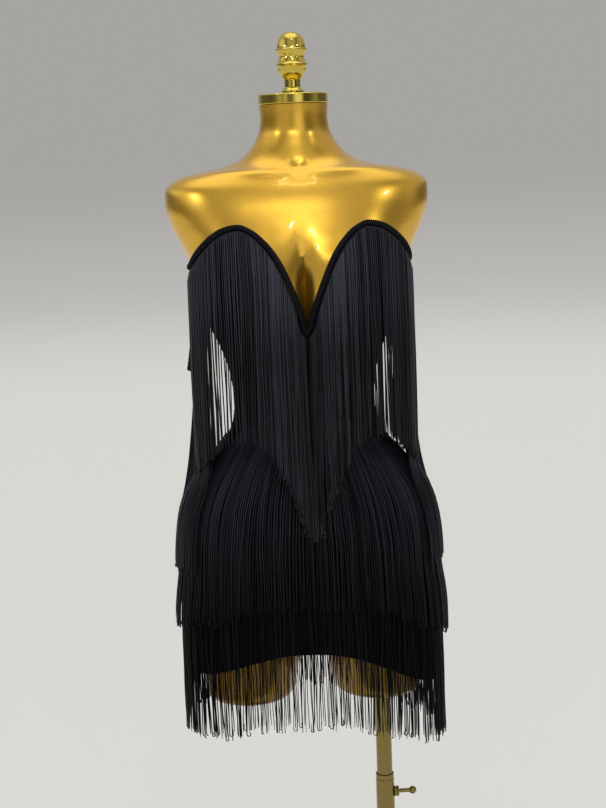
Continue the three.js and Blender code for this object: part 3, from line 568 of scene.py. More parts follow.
FINIAL_FOOT = 1457.1
FINIAL = [
    (0, 0), (14.9, 0), (15.4, 1.2), (15.4, 3.4), (14.2, 4.6), (13, 7.2), (11.3, 8.7),
    (11.0, 13), (11.3, 18.6), (13.0, 20.4), (14.7, 22.3), (16.2, 24), (17.2, 26), (18.4, 28),
    (19, 30), (19.5, 32), (19.6, 34), (20.4, 36.6), (21.9, 38.0), (21.9, 39.6), (20.4, 41),
    (19.2, 44), (18.0, 47), (17.2, 49.4), (17.4, 51), (18, 52), (19.4, 54), (20.8, 56.4),
    (21.9, 58.4), (21.9, 60.0), (20.2, 61.4), (19.9, 64), (19.4, 66.5), (18.8, 68.3),
    (17.9, 71.8), (16.6, 75), (15.0, 77.6), (12.8, 79.8), (10.2, 81.6), (7.4, 82.8),
    (3.8, 83.7), (0, 84),
]
finial = lathe("neck_finial_turned", [(r, FINIAL_FOOT + d) for r, d in FINIAL], 96)

# Cloth
RIB_PITCH = 6.4
RIB_RELIEF = 0.45
RIB_MEAN = 0.6
FRONT_SPACING = 1.15
MIDDLE_GAP = 0.05
SIDE_GAP = 0.2
WAIST_GAP = 0.3
BACK_NECK_GAP = 0.3
WING_STEP = 8
WING_LIFT = 0.6


def ribbed(z):
    """Raised horizontal ribs of the knit, as a distance outwards."""
    return RIB_RELIEF * (abs(math.sin(math.pi * z / RIB_PITCH)) - RIB_MEAN)


def front_place(side):
    def place(u, v):
        turn = lerp(0, 90, u ** FRONT_SPACING) * DEG
        head_turn, head_z = neck_below(turn, BINDING["half_width"] + BINDING["cloth_gap"])
        spot = lerp(turn, head_turn, v)
        z = lerp(WAIST + WAIST_GAP, head_z, v)
        x, y, z = body_point(spot, z, CLOTH_MIDDLE)
        return side * max(x, MIDDLE_GAP), min(y, -MIDDLE_GAP), z

    return place


def back_place(u, v):
    turn = lerp(90, 270, u) * DEG
    around = turn - 2 * math.pi if turn > math.pi else turn
    z = lerp(WAIST + WAIST_GAP, neck_z(around) - BINDING["half_width"] - BACK_NECK_GAP, v)
    x, y, z = body_point(turn, z, CLOTH_MIDDLE + ribbed(z))
    return x, max(y, SIDE_GAP), z


def skirt_place(start):
    def place(u, v):
        turn = lerp(start, start + 180, u) * DEG
        z = lerp(arch(HEM, turn), WAIST, v)
        x, y, z = body_point(turn, z, CLOTH_MIDDLE)
        return (x, min(y, -SIDE_GAP), z) if start < 0 else (x, max(y, SIDE_GAP), z)

    return place


def wing_top(turn):
    """Height at which the side wing leaves the cloth."""
    if abs(turn) > math.pi / 2:
        return neck_z(turn) - WING["below"]
    return neck_below(abs(turn), WING["below"])[1]


def widest_above(turn, z):
    """Widest point that the cloth reaches on its way down to z, and the direction out of it."""
    top = wing_top(turn)
    steps = max(1, math.ceil((top - z) / WING_STEP))
    held = None
    for i in range(steps + 1):
        height = lerp(top, z, i / steps)
        x, y, _ = body_point(turn, height, WING["grow"])
        reach = math.hypot(x, y)
        if held is None or reach >= held[0]:
            held = (reach, x, y, height)
    sx, sy, _ = sideways(turn, held[3], VALLEY_FILL)
    return held[1], held[2], sy, -sx


def wing_flare(around):
    """Share of the flare: none at the front, most at the side, less at the rear edge."""
    opened = smooth(WING_FLARE["start"], WING_FLARE["full"], around)
    folded = smooth(WING_FLARE["fold_start"], WING_FLARE["fold_full"], around)
    return opened * (1 - WING_FLARE["folded"] * folded)


def wing_place(side):
    """Ribbed band that hangs straight from under the neckline, flared where it passes the side."""
    def place(u, v):
        around = lerp(WING["start"], WING["end"], u)
        turn = side * around * DEG
        z = lerp(WING["bottom"], wing_top(turn), v)
        x, y, out_x, out_y = widest_above(turn, z)
        out = WING_LIFT + WING["flare"] * wing_flare(around) * (1 - v) ** WING["bend"]
        out += WING["rib"] * abs(math.sin(math.pi * z / RIB_PITCH))
        return x + out_x * out, y + out_y * out, z

    return place


def outward_shell(obj, thickness):
    """Turns the sheet's faces away from the body, then gives it its thickness."""
    total = sum((p.normal.x * p.center.x + p.normal.y * p.center.y) * p.area for p in obj.data.polygons)
    if total < 0:
        in_edit(obj, lambda: bpy.ops.mesh.flip_normals())
    thicken(obj, thickness)
    shade(obj, 50)


sheets = {}
for name, columns, rows, place in (
    ("bodice_left", 48, 90, front_place(1)),
    ("bodice_right", 48, 90, front_place(-1)),
    ("bodice_rear", 72, 130, back_place),
    ("skirt_tube_front", 96, 120, skirt_place(-90)),
    ("skirt_tube_rear", 96, 120, skirt_place(90)),
    ("wing_left", 30, 110, wing_place(1)),
    ("wing_right", 30, 110, wing_place(-1)),
):
    sheets[name] = grid_on(name, columns, rows, place)
    outward_shell(sheets[name], WING["thick"] if name.startswith("wing") else CLOTH_THICK)


# Swept pieces: binding, headings and strands are built ring by ring into one mesh.
class Bundle:
    """Rings of points swept along ways, gathered into one mesh with its UVs."""

    def __init__(self):
        self.points = []
        self.faces = []
        self.uvs = []
        self.count = 0

    def sweep(self, rings, uv):
        """rings: array of ring, corner, xyz in millimetres; uv: array of ring, corner, 2."""
        tall, corners = rings.shape[:2]
        base_index = self.count
        self.points.append(rings.reshape(-1, 3))
        self.uvs.append(uv.reshape(-1, 2))
        k = np.arange(corners)
        after = (k + 1) % corners
        for r in range(tall - 1):
            low = base_index + r * corners
            high = low + corners
            self.faces.extend(np.stack([low + k, low + after, high + after, high + k], 1).tolist())
        self.faces.append((base_index + k[::-1]).tolist())
        self.faces.append((base_index + (tall - 1) * corners + k).tolist())
        self.count += tall * corners

    def build(self, name):
        mesh = bpy.data.meshes.new(name)
        mesh.from_pydata((np.concatenate(self.points) * MM).tolist(), [], self.faces)
        uvs = np.concatenate(self.uvs)
        layer = mesh.uv_layers.new(name="UVMap")
        corner = np.zeros(len(mesh.loops), dtype=np.int32)
        mesh.loops.foreach_get("vertex_index", corner)
        layer.data.foreach_set("uv", uvs[corner].astype(np.float32).ravel())
        obj = placed(name, mesh)
        in_edit(obj, recalc)
        shade(obj, 60)
        return obj


def binding_band(name, turns):
    """Rounded band along the neckline with slanting cord ribs in its surface."""
    bundle = Bundle()
    spots = np.array([body_point(t, neck_z(t), BINDING["lift"]) for t in turns])
    along = unit_rows(np.gradient(spots, axis=0))
    outs = []
    for t in turns:
        sx, sy, _ = sideways(t, neck_z(t), VALLEY_FILL)
        outs.append((sy, -sx, 0))
    across = unit_rows(np.cross(np.array(outs), along))
    outs = np.cross(along, across)
    run = run_along(spots)
    angle = np.arange(BINDING["corners"]) / BINDING["corners"] * 2 * math.pi
    slant = run[:, None] / BINDING["twist"] * 2 * math.pi + 2 * angle[None, :]
    relief = BINDING["relief"] * np.sin(slant)
    wide = (BINDING["half_width"] + relief) * np.cos(angle)[None, :]
    deep = (BINDING["half_depth"] + relief) * np.sin(angle)[None, :]
    bundle.sweep(rings_round(spots, across, outs, wide, deep), uv_pairs(run[:, None] * MM, angle[None, :] * MM))
    return bundle.build(name)


NECK_PROBE = 0.05
BINDING_STEP = 0.5
BINDING_END = 89.8
BACK_BINDING = {"start": 90.25, "end": 269.75, "parts": 720}


def neck_turns(start, end, step):
    """Turns along the neckline, about one step in millimetres apart."""
    turns = [start]
    while turns[-1] < end:
        here = turns[-1]
        z = neck_z(here)
        probe = NECK_PROBE * DEG
        scale = sideways(here, z, VALLEY_FILL)[2]
        slope = (neck_z(here + probe) - z) / probe
        turns.append(here + step / math.hypot(scale, slope))
    return turns[:-1] + [end]


half_turns = neck_turns(0.0, BINDING_END * DEG, BINDING_STEP)
front_turns = [-t for t in half_turns[:0:-1]] + half_turns
band_front = binding_band("binding_front", front_turns)
band_back = binding_band("binding_back", [
    lerp(BACK_BINDING["start"], BACK_BINDING["end"], i / BACK_BINDING["parts"]) * DEG
    for i in range(BACK_BINDING["parts"] + 1)
])

# Fringe: ways that strands take, from root to tip
STEP = 6.0
SIDE_PULL = {"start": 0.6, "full": 0.95}
SEAM_START = 0.5


def share_below(zone, z):
    """0 above the zone's start height, 1 below its full height."""
    return smooth(-zone["start"], -zone["full"], -z)


def neck_grow(z):
    return lerp(LOCK_GROW, OVER_HIP["grow"], share_below(OVER_HIP, z))


def side_grow(z):
    return lerp(LOCK_GROW, OVER_SIDE["grow"], share_below(OVER_SIDE, z))


def hip_grow(z):
    over = lerp(LOCK_GROW, OVER_HEM["grow"], share_below(OVER_HEM, z))
    return over + LOW_FLARE["grow"] * share_below(LOW_FLARE, z)


def hem_grow(z):
    return LOCK_GROW + HEM_FLARE["grow"] * share_below(HEM_FLARE, z)


EASE = {"reach": 6, "start": 10}


def eased(way):
    """Rounds a way outwards where the hips begin to push it out."""
    spots = np.array(way)
    reach = EASE["reach"]
    padded = np.pad(spots[:, :2], ((reach, reach), (0, 0)), mode="edge")
    even = np.ones(2 * reach + 1) / (2 * reach + 1)
    mean = np.stack([np.convolve(padded[:, k], even, mode="valid") for k in (0, 1)], 1)
    further = np.hypot(mean[:, 0], mean[:, 1]) > np.hypot(spots[:, 0], spots[:, 1])
    share = (further * np.minimum(np.arange(len(spots)) / EASE["start"], 1))[:, None]
    spots[:, :2] += (mean - spots[:, :2]) * share
    return spots


def walk_down(top, length, spot_at):
    """Steps down from top until the way is long enough; each spot carries its outward direction."""
    way = []
    run = 0.0
    z = top
    while run < length:
        way.append(spot_at(z))
        if len(way) > 1:
            run += math.dist(way[-1][:3], way[-2][:3])
        z -= STEP
    return way


def clinging_way(turn, top, grow_at, length):
    """Lies on the body while it widens, and hangs straight down where it narrows."""
    held = None

    def spot_at(z):
        nonlocal held
        sx, sy, _ = sideways(turn, z, VALLEY_FILL)
        x, y, _ = body_point(turn, z, grow_at(z))
        reach = math.hypot(x, y)
        if held is None or reach >= held[0]:
            held = (reach, x, y, sy, -sx)
        return held[1], held[2], z, held[3], held[4]

    return walk_down(top, length, spot_at)


def hanging_way(side, turn, top, grow_at, length):
    """Hangs in its own upright plane off the bust, and is pushed out by the hips."""
    x, y, _ = body_point(turn, top, grow_at(top))
    sx, sy, _ = sideways(turn, top, VALLEY_FILL)
    out_x, out_y = sy, -sx
    over_wing = OVER_WING["lift"] * smooth(OVER_WING["start"], OVER_WING["full"], turn / DEG)

    def spot_at(z):
        nonlocal x, y, out_x, out_y
        grow = grow_at(z)
        power = power_at(z)
        half = half_at(z) + grow
        front = front_at(z) + grow
        lean = y + bust_height(x, z, VALLEY_FILL)
        size = ((abs(x) / half) ** power + (abs(lean) / front) ** power) ** (1 / power)
        if size < 1:
            pull = smooth(SIDE_PULL["start"], SIDE_PULL["full"], abs(x) / half)
            x = lerp(x, x / size, pull)
            left = max(0, 1 - (abs(x) / half) ** power)
            y = min(y, -front * left ** (1 / power) - bust_height(x, z, VALLEY_FILL))
            if z < WAIST:
                slope_x = (abs(x) / half) ** (power - 1) / half
                slope_y = -((abs(lean) / front) ** (power - 1)) / front
                slope = math.hypot(slope_x, slope_y)
                out_x, out_y = slope_x / slope, slope_y / slope
        lift = over_wing * smooth(OVER_WING["near"], OVER_WING["far"], top - z)
        return side * (x + out_x * lift), y + out_y * lift, z, side * out_x, out_y

    return walk_down(top, length, spot_at)


STRAND = {"radius": 0.95, "rings": 22, "corners": 4, "tip": 0.6}
CURL = {
    "share": 0.4, "looped": 0.16, "size": (1.3, 3.2), "twist": 0.6,
    "loop": (1.0, 1.5), "bend": (0.25, 0.6), "rise": (2, 9), "parts": 8,
}
STRAY = (4, 9)
CORNER_ANGLES = np.arange(STRAND["corners"]) / STRAND["corners"] * 2 * math.pi + math.pi / 4
RANDOM = random.Random(20434)


class Group:
    """Strands that hang together: they drift to one middle and sway as one."""

    def __init__(self, size, gather, sway, lift):
        self.size = size
        self.gather = RANDOM.uniform(*gather)
        self.sway = RANDOM.uniform(-sway, sway)
        self.bend = RANDOM.uniform(-sway, sway) * 0.6
        self.lift = RANDOM.uniform(0, lift)
        self.start = RANDOM.uniform(0.05, 0.5)


def waves(shares, size, count):
    """Slow random waviness along a strand, none at its root."""
    total = np.zeros_like(shares)
    for _ in range(count):
        turns = RANDOM.uniform(0.5, 2.6)
        shift = RANDOM.uniform(0, 2 * math.pi)
        total += RANDOM.uniform(-1, 1) * np.sin(turns * shares * 2 * math.pi + shift) / turns
    return total * size * np.minimum(shares * 3, 1)


def add_strand(bundle, way, length, drift, lift, tail, style):
    """One yarn: the way resampled, moved sideways by drift and outwards by lift, then swept."""
    way = np.array(way)
    run = run_along(way[:, :3])
    shares = np.linspace(0, 1, STRAND["rings"])
    goals = shares * min(length, run[-1])
    line = np.stack([np.interp(goals, run, way[:, k]) for k in range(5)], 1)
    spots = line[:, :3].copy()
    out = unit_rows(np.stack([line[:, 3], line[:, 4], np.zeros(len(shares))], 1))
    side = np.stack([-out[:, 1], out[:, 0], np.zeros(len(shares))], 1)
    spots += side * drift(shares)[:, None] + out * lift(shares)[:, None]
    if tail:
        spots = np.concatenate([spots, tail(spots[-1], side[-1], out[-1])])
        extra = len(spots) - len(side)
        side = np.concatenate([side, np.repeat(side[-1:], extra, 0)])
        out = np.concatenate([out, np.repeat(out[-1:], extra, 0)])
    along = unit_rows(np.gradient(spots, axis=0))
    across = unit_rows(side - along * np.sum(side * along, axis=1)[:, None])
    face = np.cross(along, across)
    radius = STRAND["radius"] * style["thin"] * np.ones(len(spots))
    radius[-1] *= STRAND["tip"]
    wide = np.cos(CORNER_ANGLES)[None, :] * radius[:, None]
    deep = np.sin(CORNER_ANGLES)[None, :] * radius[:, None]
    travel = run_along(spots) * MM
    # Tone of the strand: random within its layer's range, and darker for the inner layer as painted shade; calm
    # pulls it towards the middle.
    tone_with_painted_shade = lerp(RANDOM.uniform(*style["shade"]), 0.5, style.get("calm", 0.0))
    bundle.sweep(rings_round(spots, across, face, wide, deep), uv_pairs(tone_with_painted_shade + 0 * wide, travel[:, None]))


def curl():
    """End of a strand that bends aside, or turns back up in a small loop."""
    kind = RANDOM.random()
    if kind > CURL["share"]:
        return None
    looped = kind < CURL["looped"]
    hand = RANDOM.choice((-1, 1))
    size = RANDOM.uniform(*CURL["size"])
    twist = RANDOM.uniform(-CURL["twist"], CURL["twist"])
    turned = math.pi * RANDOM.uniform(*CURL["loop" if looped else "bend"])
    rise = RANDOM.uniform(*CURL["rise"]) if looped else 0

    def tail(start, side, out):
        way = []
        flat = side * math.cos(twist) + out * math.sin(twist)
        for i in range(1, CURL["parts"] + 1):
            angle = turned * i / CURL["parts"]
            spot = start + flat * hand * size * (1 - math.cos(angle))
            spot = spot - np.array([0, 0, size * math.sin(angle)])
            way.append(spot)
        if rise:
            way.append(way[-1] + np.array([0, 0, rise]))
        return np.array(way)

    return tail


def hang_all(bundle, roots, make_way, style):
    """Strands in groups along one seam; roots are in order along it."""
    at = 0
    while at < len(roots):
        kind = roots[at][2] if isinstance(roots[at], tuple) else ""
        grouping = GAP_GROUPS.get(kind, style)
        group = Group(RANDOM.randint(*grouping["group"]), grouping["gather"], style["sway"], style["lift"])
        members = roots[at:at + group.size]
        middle = (len(members) - 1) / 2
        for k, root in enumerate(members):
            pull = (middle - k) * style["pitch"] * group.gather
            length = FRINGE_LENGTH * RANDOM.uniform(1 - style["uneven"], 1)
            own = RANDOM.uniform(-0.8, 0.8)
            if RANDOM.random() < style["stray"]:
                own = RANDOM.choice((-1, 1)) * RANDOM.uniform(*STRAY)

            def drift(shares, pull=pull, own=own):
                late = np.clip((shares - group.start) / (1 - group.start), 0, 1)
                together = pull * late ** 0.8
                swing = group.sway * shares ** 1.5 + group.bend * np.sin(shares * 5)
                return together + swing + own * shares + waves(shares, style["wander"], 3)

            def lift(shares):
                return style["depth"] + group.lift * np.minimum(shares * 2, 1) + np.abs(waves(shares, 0.8, 2))

            tail = curl() if RANDOM.random() < style["curls"] else None
            add_strand(bundle, make_way(root, length + STEP), length, drift, lift, tail, style)
        at += group.size


# In front of the gaps at the waist: distance from the middle, how strands group, share of inner ones
GAP_ZONES = {
    -1: [(92, 127, "open", 0.0)],
    1: [(88, 103, "closed", 2.4), (103, 108, "open", 0.0), (108, 132, "closed", 2.4)],
}
NECK_ROOTS = (0.1, 84.5, 700)
ROUND_ROOTS = {"inset": 0.4, "count": 900}
SIDE_ROOTS = {"inset": 0.5, "count": 300}
GAP_GROUPS = {
    "open": {"group": (2, 3), "gather": (0.6, 0.9)},
    "closed": {"group": (2, 5), "gather": (0.0, 0.06)},
}


def evenly(turns, spots, pitch, shift):
    """Turns at which roots stand one pitch apart along a seam."""
    run = run_along(spots)
    goals = np.arange(shift * pitch + SEAM_START, run[-1], pitch)
    return [float(turn) for turn in np.interp(goals, run, turns)]


def neck_roots(pitch, shift, side, layer):
    """Turn, drop below the neckline, and how the strand groups in front of a gap."""
    fine = np.linspace(*NECK_ROOTS) * DEG
    spots = [body_point(*neck_below(turn, NECK_DROP), 0) for turn in fine]
    roots = []
    quota = 0.5
    for turn in evenly(fine, spots, pitch, shift):
        x = body_point(*neck_below(turn, NECK_DROP), 0)[0]
        zone = [(kind, share) for low, high, kind, share in GAP_ZONES[side] if low <= x < high]
        kind, share = zone[0] if zone else ("", 1.0)
        quota += share if layer == 0 else 1
        while quota >= 1:
            quota -= 1
            roots.append((turn, NECK_DROP, kind))
    return roots


def round_roots(start, end, line, pitch, shift):
    fine = np.linspace(start + ROUND_ROOTS["inset"], end - ROUND_ROOTS["inset"], ROUND_ROOTS["count"]) * DEG
    return evenly(fine, [body_point(t, arch(line, t), 0) for t in fine], pitch, shift)


def neck_way(side):
    def make(root, length):
        turn, z = neck_below(*root[:2])
        return eased(hanging_way(side, turn, z, neck_grow, length))

    return make


def seam_way(line, grow_at):
    def make(turn, length):
        return clinging_way(turn, arch(line, turn, HEADING["height"] / 2), grow_at, length)

    return make


SIDE_OVERLAP = 0.8
SIDE_TOP = WING["bottom"] + SIDE_OVERLAP
HEADING_CORNERS = 8
HEADING_COLUMNS = {"side": 80, "seam": 260}


def side_roots(pitch, shift):
    """Turns along the lower edge of a wing, one pitch apart."""
    inset = SIDE_ROOTS["inset"]
    fine = np.linspace(WING["start"] + inset, WING["end"] - inset, SIDE_ROOTS["count"]) * DEG
    return evenly(fine, [widest_above(t, WING["bottom"])[:2] for t in fine], pitch, shift)


spread_at = height_table(SIDE_SPREAD, 1)


def side_spot(turn, z, out):
    """Place under a wing, spread outwards at the rear on the way down."""
    x, y, out_x, out_y = widest_above(turn, WING["bottom"])
    rear = smooth(SPREAD_FROM["start"], SPREAD_FROM["full"], abs(turn) / DEG)
    out += rear * spread_at(z)
    return x + out_x * out, y + out_y * out, z, out_x, out_y


def side_way(side):
    """Hangs from under the wing and is pushed out by the hips."""
    def make(turn, length):
        def spot_at(z):
            spot = side_spot(side * turn, z, HEADING["thick"] / 2)
            x, y, _ = body_point(side * turn, z, side_grow(z))
            if math.hypot(x, y) > math.hypot(spot[0], spot[1]):
                return x, y, *spot[2:]
            return spot

        return eased(walk_down(SIDE_TOP - HEADING["height"] / 2, length, spot_at))

    return make


def side_heading(bundle, side):
    """Narrow band under a wing's lower edge that its fringe hangs from."""
    rings = []
    middle_z = SIDE_TOP - HEADING["height"] / 2
    for turn in np.linspace(WING["start"], WING["end"], HEADING_COLUMNS["side"]) * DEG:
        x, y, z, out_x, out_y = side_spot(side * turn, middle_z, HEADING["thick"] / 2)
        rings.append(heading_ring(np.array([x, y, z]), np.array([out_x, out_y, 0])))
    bundle.sweep(np.array(rings), heading_uv(len(rings)))


def heading_ring(middle, out):
    """Corners of a heading's section: a flat band with rounded edges."""
    up = np.array([0, 0, 1.0])
    ring = []
    for k in range(HEADING_CORNERS):
        angle = (k + 0.5) / HEADING_CORNERS * 2 * math.pi
        across = math.copysign(abs(math.cos(angle)) ** 0.5, math.cos(angle)) * HEADING["height"] / 2
        deep = math.copysign(abs(math.sin(angle)) ** 0.5, math.sin(angle)) * HEADING["thick"] / 2
        ring.append(middle + up * across + out * deep)
    return ring


def heading_uv(count):
    travel = np.linspace(0, 0.3, count)[:, None] + np.zeros((1, HEADING_CORNERS))
    return uv_pairs(0.5 + 0 * travel, travel)


def heading(bundle, line, start, end):
    """Narrow knitted band that the strands of one fringe hang from."""
    rings = []
    for turn in np.linspace(start, end, HEADING_COLUMNS["seam"]) * DEG:
        t, z = line(turn)
        sx, sy, _ = sideways(t, z, VALLEY_FILL)
        middle = np.array(body_point(t, z, HEADING["middle"]))
        rings.append(heading_ring(middle, np.array([sy, -sx, 0])))
    bundle.sweep(np.array(rings), heading_uv(len(rings)))


def mirrored_neck_line(side, below):
    def line(turn):
        t, z = neck_below(abs(turn), below)
        return side * t, z

    return line


NECK_STYLE = {
    "pitch": 2.9, "group": (3, 8), "gather": (0.1, 0.6), "sway": 1.8, "lift": 1.0, "uneven": 0.02,
    "wander": 0.7, "curls": 0.4, "thin": 0.95, "stray": 0.01,
}
HIP_STYLE = {
    "pitch": 2.4, "group": (3, 9), "gather": (0.05, 0.5), "sway": 1.8, "lift": 1.2, "uneven": 0.03,
    "wander": 0.8, "curls": 0.6, "thin": 0.85, "stray": 0.015, "calm": 0.55,
}
SIDE_STYLE = {
    "pitch": 2.6, "group": (3, 8), "gather": (0.05, 0.4), "sway": 1.5, "lift": 1.0, "uneven": 0.03,
    "wander": 0.7, "curls": 0.5, "thin": 0.95, "stray": 0.01,
}
HEM_STYLE = {
    "pitch": 3.7, "group": (1, 4), "gather": (0.0, 0.7), "sway": 3.0, "lift": 1.2, "uneven": 0.05,
    "wander": 1.6, "curls": 0.7, "thin": 0.8, "stray": 0.04,
}
# The inner layer lies behind the outer one, and its darker tone range is painted shade between the strands;
# within each range the tone differs at random.
LAYERS = [{"depth": -0.9, "shade": (0.0, 0.35)}, {"depth": 0.6, "shade": (0.3, 1.0)}]

fringes = {}
for name, side in (("fringe_left", 1), ("fringe_right", -1)):
    bundle = Bundle()
    heading(bundle, mirrored_neck_line(side, NECK_DROP), 0.6, 84.8)
    for layer in (0, 1):
        style = {**NECK_STYLE, **LAYERS[layer]}
        hang_all(bundle, neck_roots(style["pitch"], 0.5 * layer, side, layer), neck_way(side), style)
    fringes[name] = bundle.build(name)

for name, side in (("fringe_side_curtain_left", 1), ("fringe_side_curtain_right", -1)):
    bundle = Bundle()
    side_heading(bundle, side)
    for layer in (0, 1):
        style = {**SIDE_STYLE, **LAYERS[layer]}
        hang_all(bundle, side_roots(style["pitch"], 0.5 * layer), side_way(side), style)
    fringes[name] = bundle.build(name)

for name, line, start, grow_at, style in (
    ("fringe_hips_front", HIP_SEAM, -90, hip_grow, HIP_STYLE),
    ("fringe_hips_rear", HIP_SEAM, 90, hip_grow, HIP_STYLE),
    ("fringe_low_front", HEM_SEAM, -90, hem_grow, HEM_STYLE),
    ("fringe_low_rear", HEM_SEAM, 90, hem_grow, HEM_STYLE),
):
    bundle = Bundle()
    heading(
        bundle, lambda t, seam=line: (t, arch(seam, t, HEADING["height"] / 2)),
        start + 0.3, start + 179.7,
    )
    for layer in (0, 1):
        layered = {**style, **LAYERS[layer]}
        roots = round_roots(start, start + 180, line, style["pitch"], 0.5 * layer)
        hang_all(bundle, roots, seam_way(line, grow_at), layered)
    fringes[name] = bundle.build(name)


# Materials
def new_material(name, color, roughness, metallic=0.0):
    material = bpy.data.materials.new(name)
    material.use_nodes = True
    shader = material.node_tree.nodes["Principled BSDF"]
    shader.inputs["Base Color"].default_value = (*color, 1)
    shader.inputs["Roughness"].default_value = roughness
    shader.inputs["Metallic"].default_value = metallic
    return material, shader


def add_node(material, kind, **values):
    node = material.node_tree.nodes.new(kind)
    for key, value in values.items():
        if key in node.inputs:
            node.inputs[key].default_value = value
        else:
            setattr(node, key, value)
    return node


def link(material, start, end):
    material.node_tree.links.new(start, end)


def noise(material, scale, detail):
    place = add_node(material, "ShaderNodeTexCoord")
    node = add_node(material, "ShaderNodeTexNoise", Scale=scale, Detail=detail)
    link(material, place.outputs["Object"], node.inputs["Vector"])
    return node.outputs["Fac"]


def ramp(material, source, stops):
    node = add_node(material, "ShaderNodeValToRGB")
    elements = node.color_ramp.elements
    while len(elements) < len(stops):
        elements.new(0.5)
    for element, (at, color) in zip(elements, stops):
        element.position = at
        element.color = (*color, 1)
    link(material, source, node.inputs["Fac"])
    return node.outputs["Color"]


def ranged(material, source, low, high):
    node = add_node(material, "ShaderNodeMapRange")
    node.inputs["To Min"].default_value = low
    node.inputs["To Max"].default_value = high
    link(material, source, node.inputs["Value"])
    return node.outputs["Result"]


def bump(material, shader, source, strength, distance):
    node = add_node(material, "ShaderNodeBump")
    node.inputs["Strength"].default_value = strength
    node.inputs["Distance"].default_value = distance
    link(material, source, node.inputs["Height"])
    link(material, node.outputs["Normal"], shader.inputs["Normal"])


def uneven_gloss(material, shader, scale, detail, low, high):
    """Roughness that wanders between two levels."""
    link(material, ranged(material, noise(material, scale, detail), low, high), shader.inputs["Roughness"])


def scaled_tone(material, shader, tone, share):
    """Base colour that a value makes darker or lighter."""
    scaled = add_node(material, "ShaderNodeVectorMath")
    scaled.operation = "SCALE"
    link(material, tone, scaled.inputs[0])
    link(material, share, scaled.inputs["Scale"])
    link(material, scaled.outputs["Vector"], shader.inputs["Base Color"])


def split(tree, source):
    parts = tree.nodes.new("ShaderNodeSeparateXYZ")
    tree.links.new(source, parts.inputs["Vector"])
    return parts.outputs


def tree_range(tree, source, low, high, to_low=0.0, to_high=1.0):
    node = tree.nodes.new("ShaderNodeMapRange")
    node.interpolation_type = "SMOOTHSTEP"
    for key, value in (("From Min", low), ("From Max", high), ("To Min", to_low), ("To Max", to_high)):
        node.inputs[key].default_value = value
    tree.links.new(source, node.inputs["Value"])
    return node.outputs["Result"]


def tree_math(tree, operation, first, second):
    node = tree.nodes.new("ShaderNodeMath")
    node.operation = operation
    for socket, value in zip(node.inputs, (first, second)):
        if isinstance(value, float):
            socket.default_value = value
        else:
            tree.links.new(value, socket)
    return node.outputs["Value"]


def height_share(material, low, high, to_low, to_high):
    """Value that goes from one level to the other between two heights, in metres."""
    place = add_node(material, "ShaderNodeTexCoord")
    height = split(material.node_tree, place.outputs["Object"])["Z"]
    return tree_range(material.node_tree, height, low, high, to_low, to_high)


# Painted shade on the thigh stumps, darker low down: from height, to height, tone below, tone above
THIGH_PAINTED_SHADE = (0.7, 0.76, 0.3, 1.0)


def gold_form():
    material, shader = new_material("gold_lacquer", (0.78, 0.45, 0.05), 0.3, 0.95)
    tone = ramp(material, noise(material, 9, 3), [(0.3, (0.75, 0.43, 0.045)), (0.7, (0.81, 0.48, 0.055))])
    # Painted shade: the gold is made darker low on the thighs, where the fringe shades them.
    scaled_tone(material, shader, tone, height_share(material, *THIGH_PAINTED_SHADE))
    uneven_gloss(material, shader, 30, 2, 0.25, 0.3)
    shader.inputs["Coat Weight"].default_value = 0.4
    shader.inputs["Coat Roughness"].default_value = 0.04
    return material


def polished_gold():
    material, shader = new_material("polished_gold", (0.66, 0.51, 0.1), 0.05, 1.0)
    uneven_gloss(material, shader, 90, 3, 0.03, 0.08)
    bump(material, shader, noise(material, 40, 1), 0.03, 0.0004)
    return material


def pole_gold():
    material, shader = new_material("pole_gold", (0.25, 0.19, 0.065), 0.2, 1.0)
    uneven_gloss(material, shader, 140, 4, 0.1, 0.2)
    bump(material, shader, noise(material, 500, 2), 0.04, 0.0003)
    return material


def black_knit():
    material, shader = new_material("black_knit", (0.006, 0.006, 0.009), 0.8)
    shader.inputs["Specular IOR Level"].default_value = 0.08
    place = add_node(material, "ShaderNodeTexCoord")
    weave = add_node(material, "ShaderNodeTexWave", Scale=160.0, Distortion=0.6)
    weave.bands_direction = "Z"
    link(material, place.outputs["Object"], weave.inputs["Vector"])
    stops = [(0.3, (0.002, 0.002, 0.003)), (0.7, (0.006, 0.006, 0.009))]
    color = ramp(material, noise(material, 300, 3), stops)
    link(material, color, shader.inputs["Base Color"])
    bump(material, shader, weave.outputs["Fac"], 0.35, 0.0006)
    return material


def black_cord():
    material, shader = new_material("black_cord", (0.005, 0.005, 0.007), 0.6)
    shader.inputs["Specular IOR Level"].default_value = 0.12
    uneven_gloss(material, shader, 700, 3, 0.5, 0.75)
    bump(material, shader, noise(material, 1500, 2), 0.25, 0.0003)
    return material


def black_yarn(name, gloss, heights, stops):
    """Chainette yarn: stops give its tone from the darkest strand to the lightest, and heights (from height, to
    height, tone below, tone above) scale it as painted light and shade by height.
    """
    material, shader = new_material(name, stops[1][1], 0.45)
    shader.inputs["Specular IOR Level"].default_value = gloss
    uv = add_node(material, "ShaderNodeUVMap")
    uv.uv_map = "UVMap"
    tone = ramp(material, split(material.node_tree, uv.outputs["UV"])["X"], stops)
    # Painted light and shade: the base colour is made darker or lighter by height.
    scaled_tone(material, shader, tone, height_share(material, *heights))
    twist = add_node(material, "ShaderNodeTexWave", Scale=110.0, Distortion=0.0)
    twist.bands_direction = "Y"
    link(material, uv.outputs["UV"], twist.inputs["Vector"])
    bump(material, shader, twist.outputs["Fac"], 0.3, 0.0003)
    return material


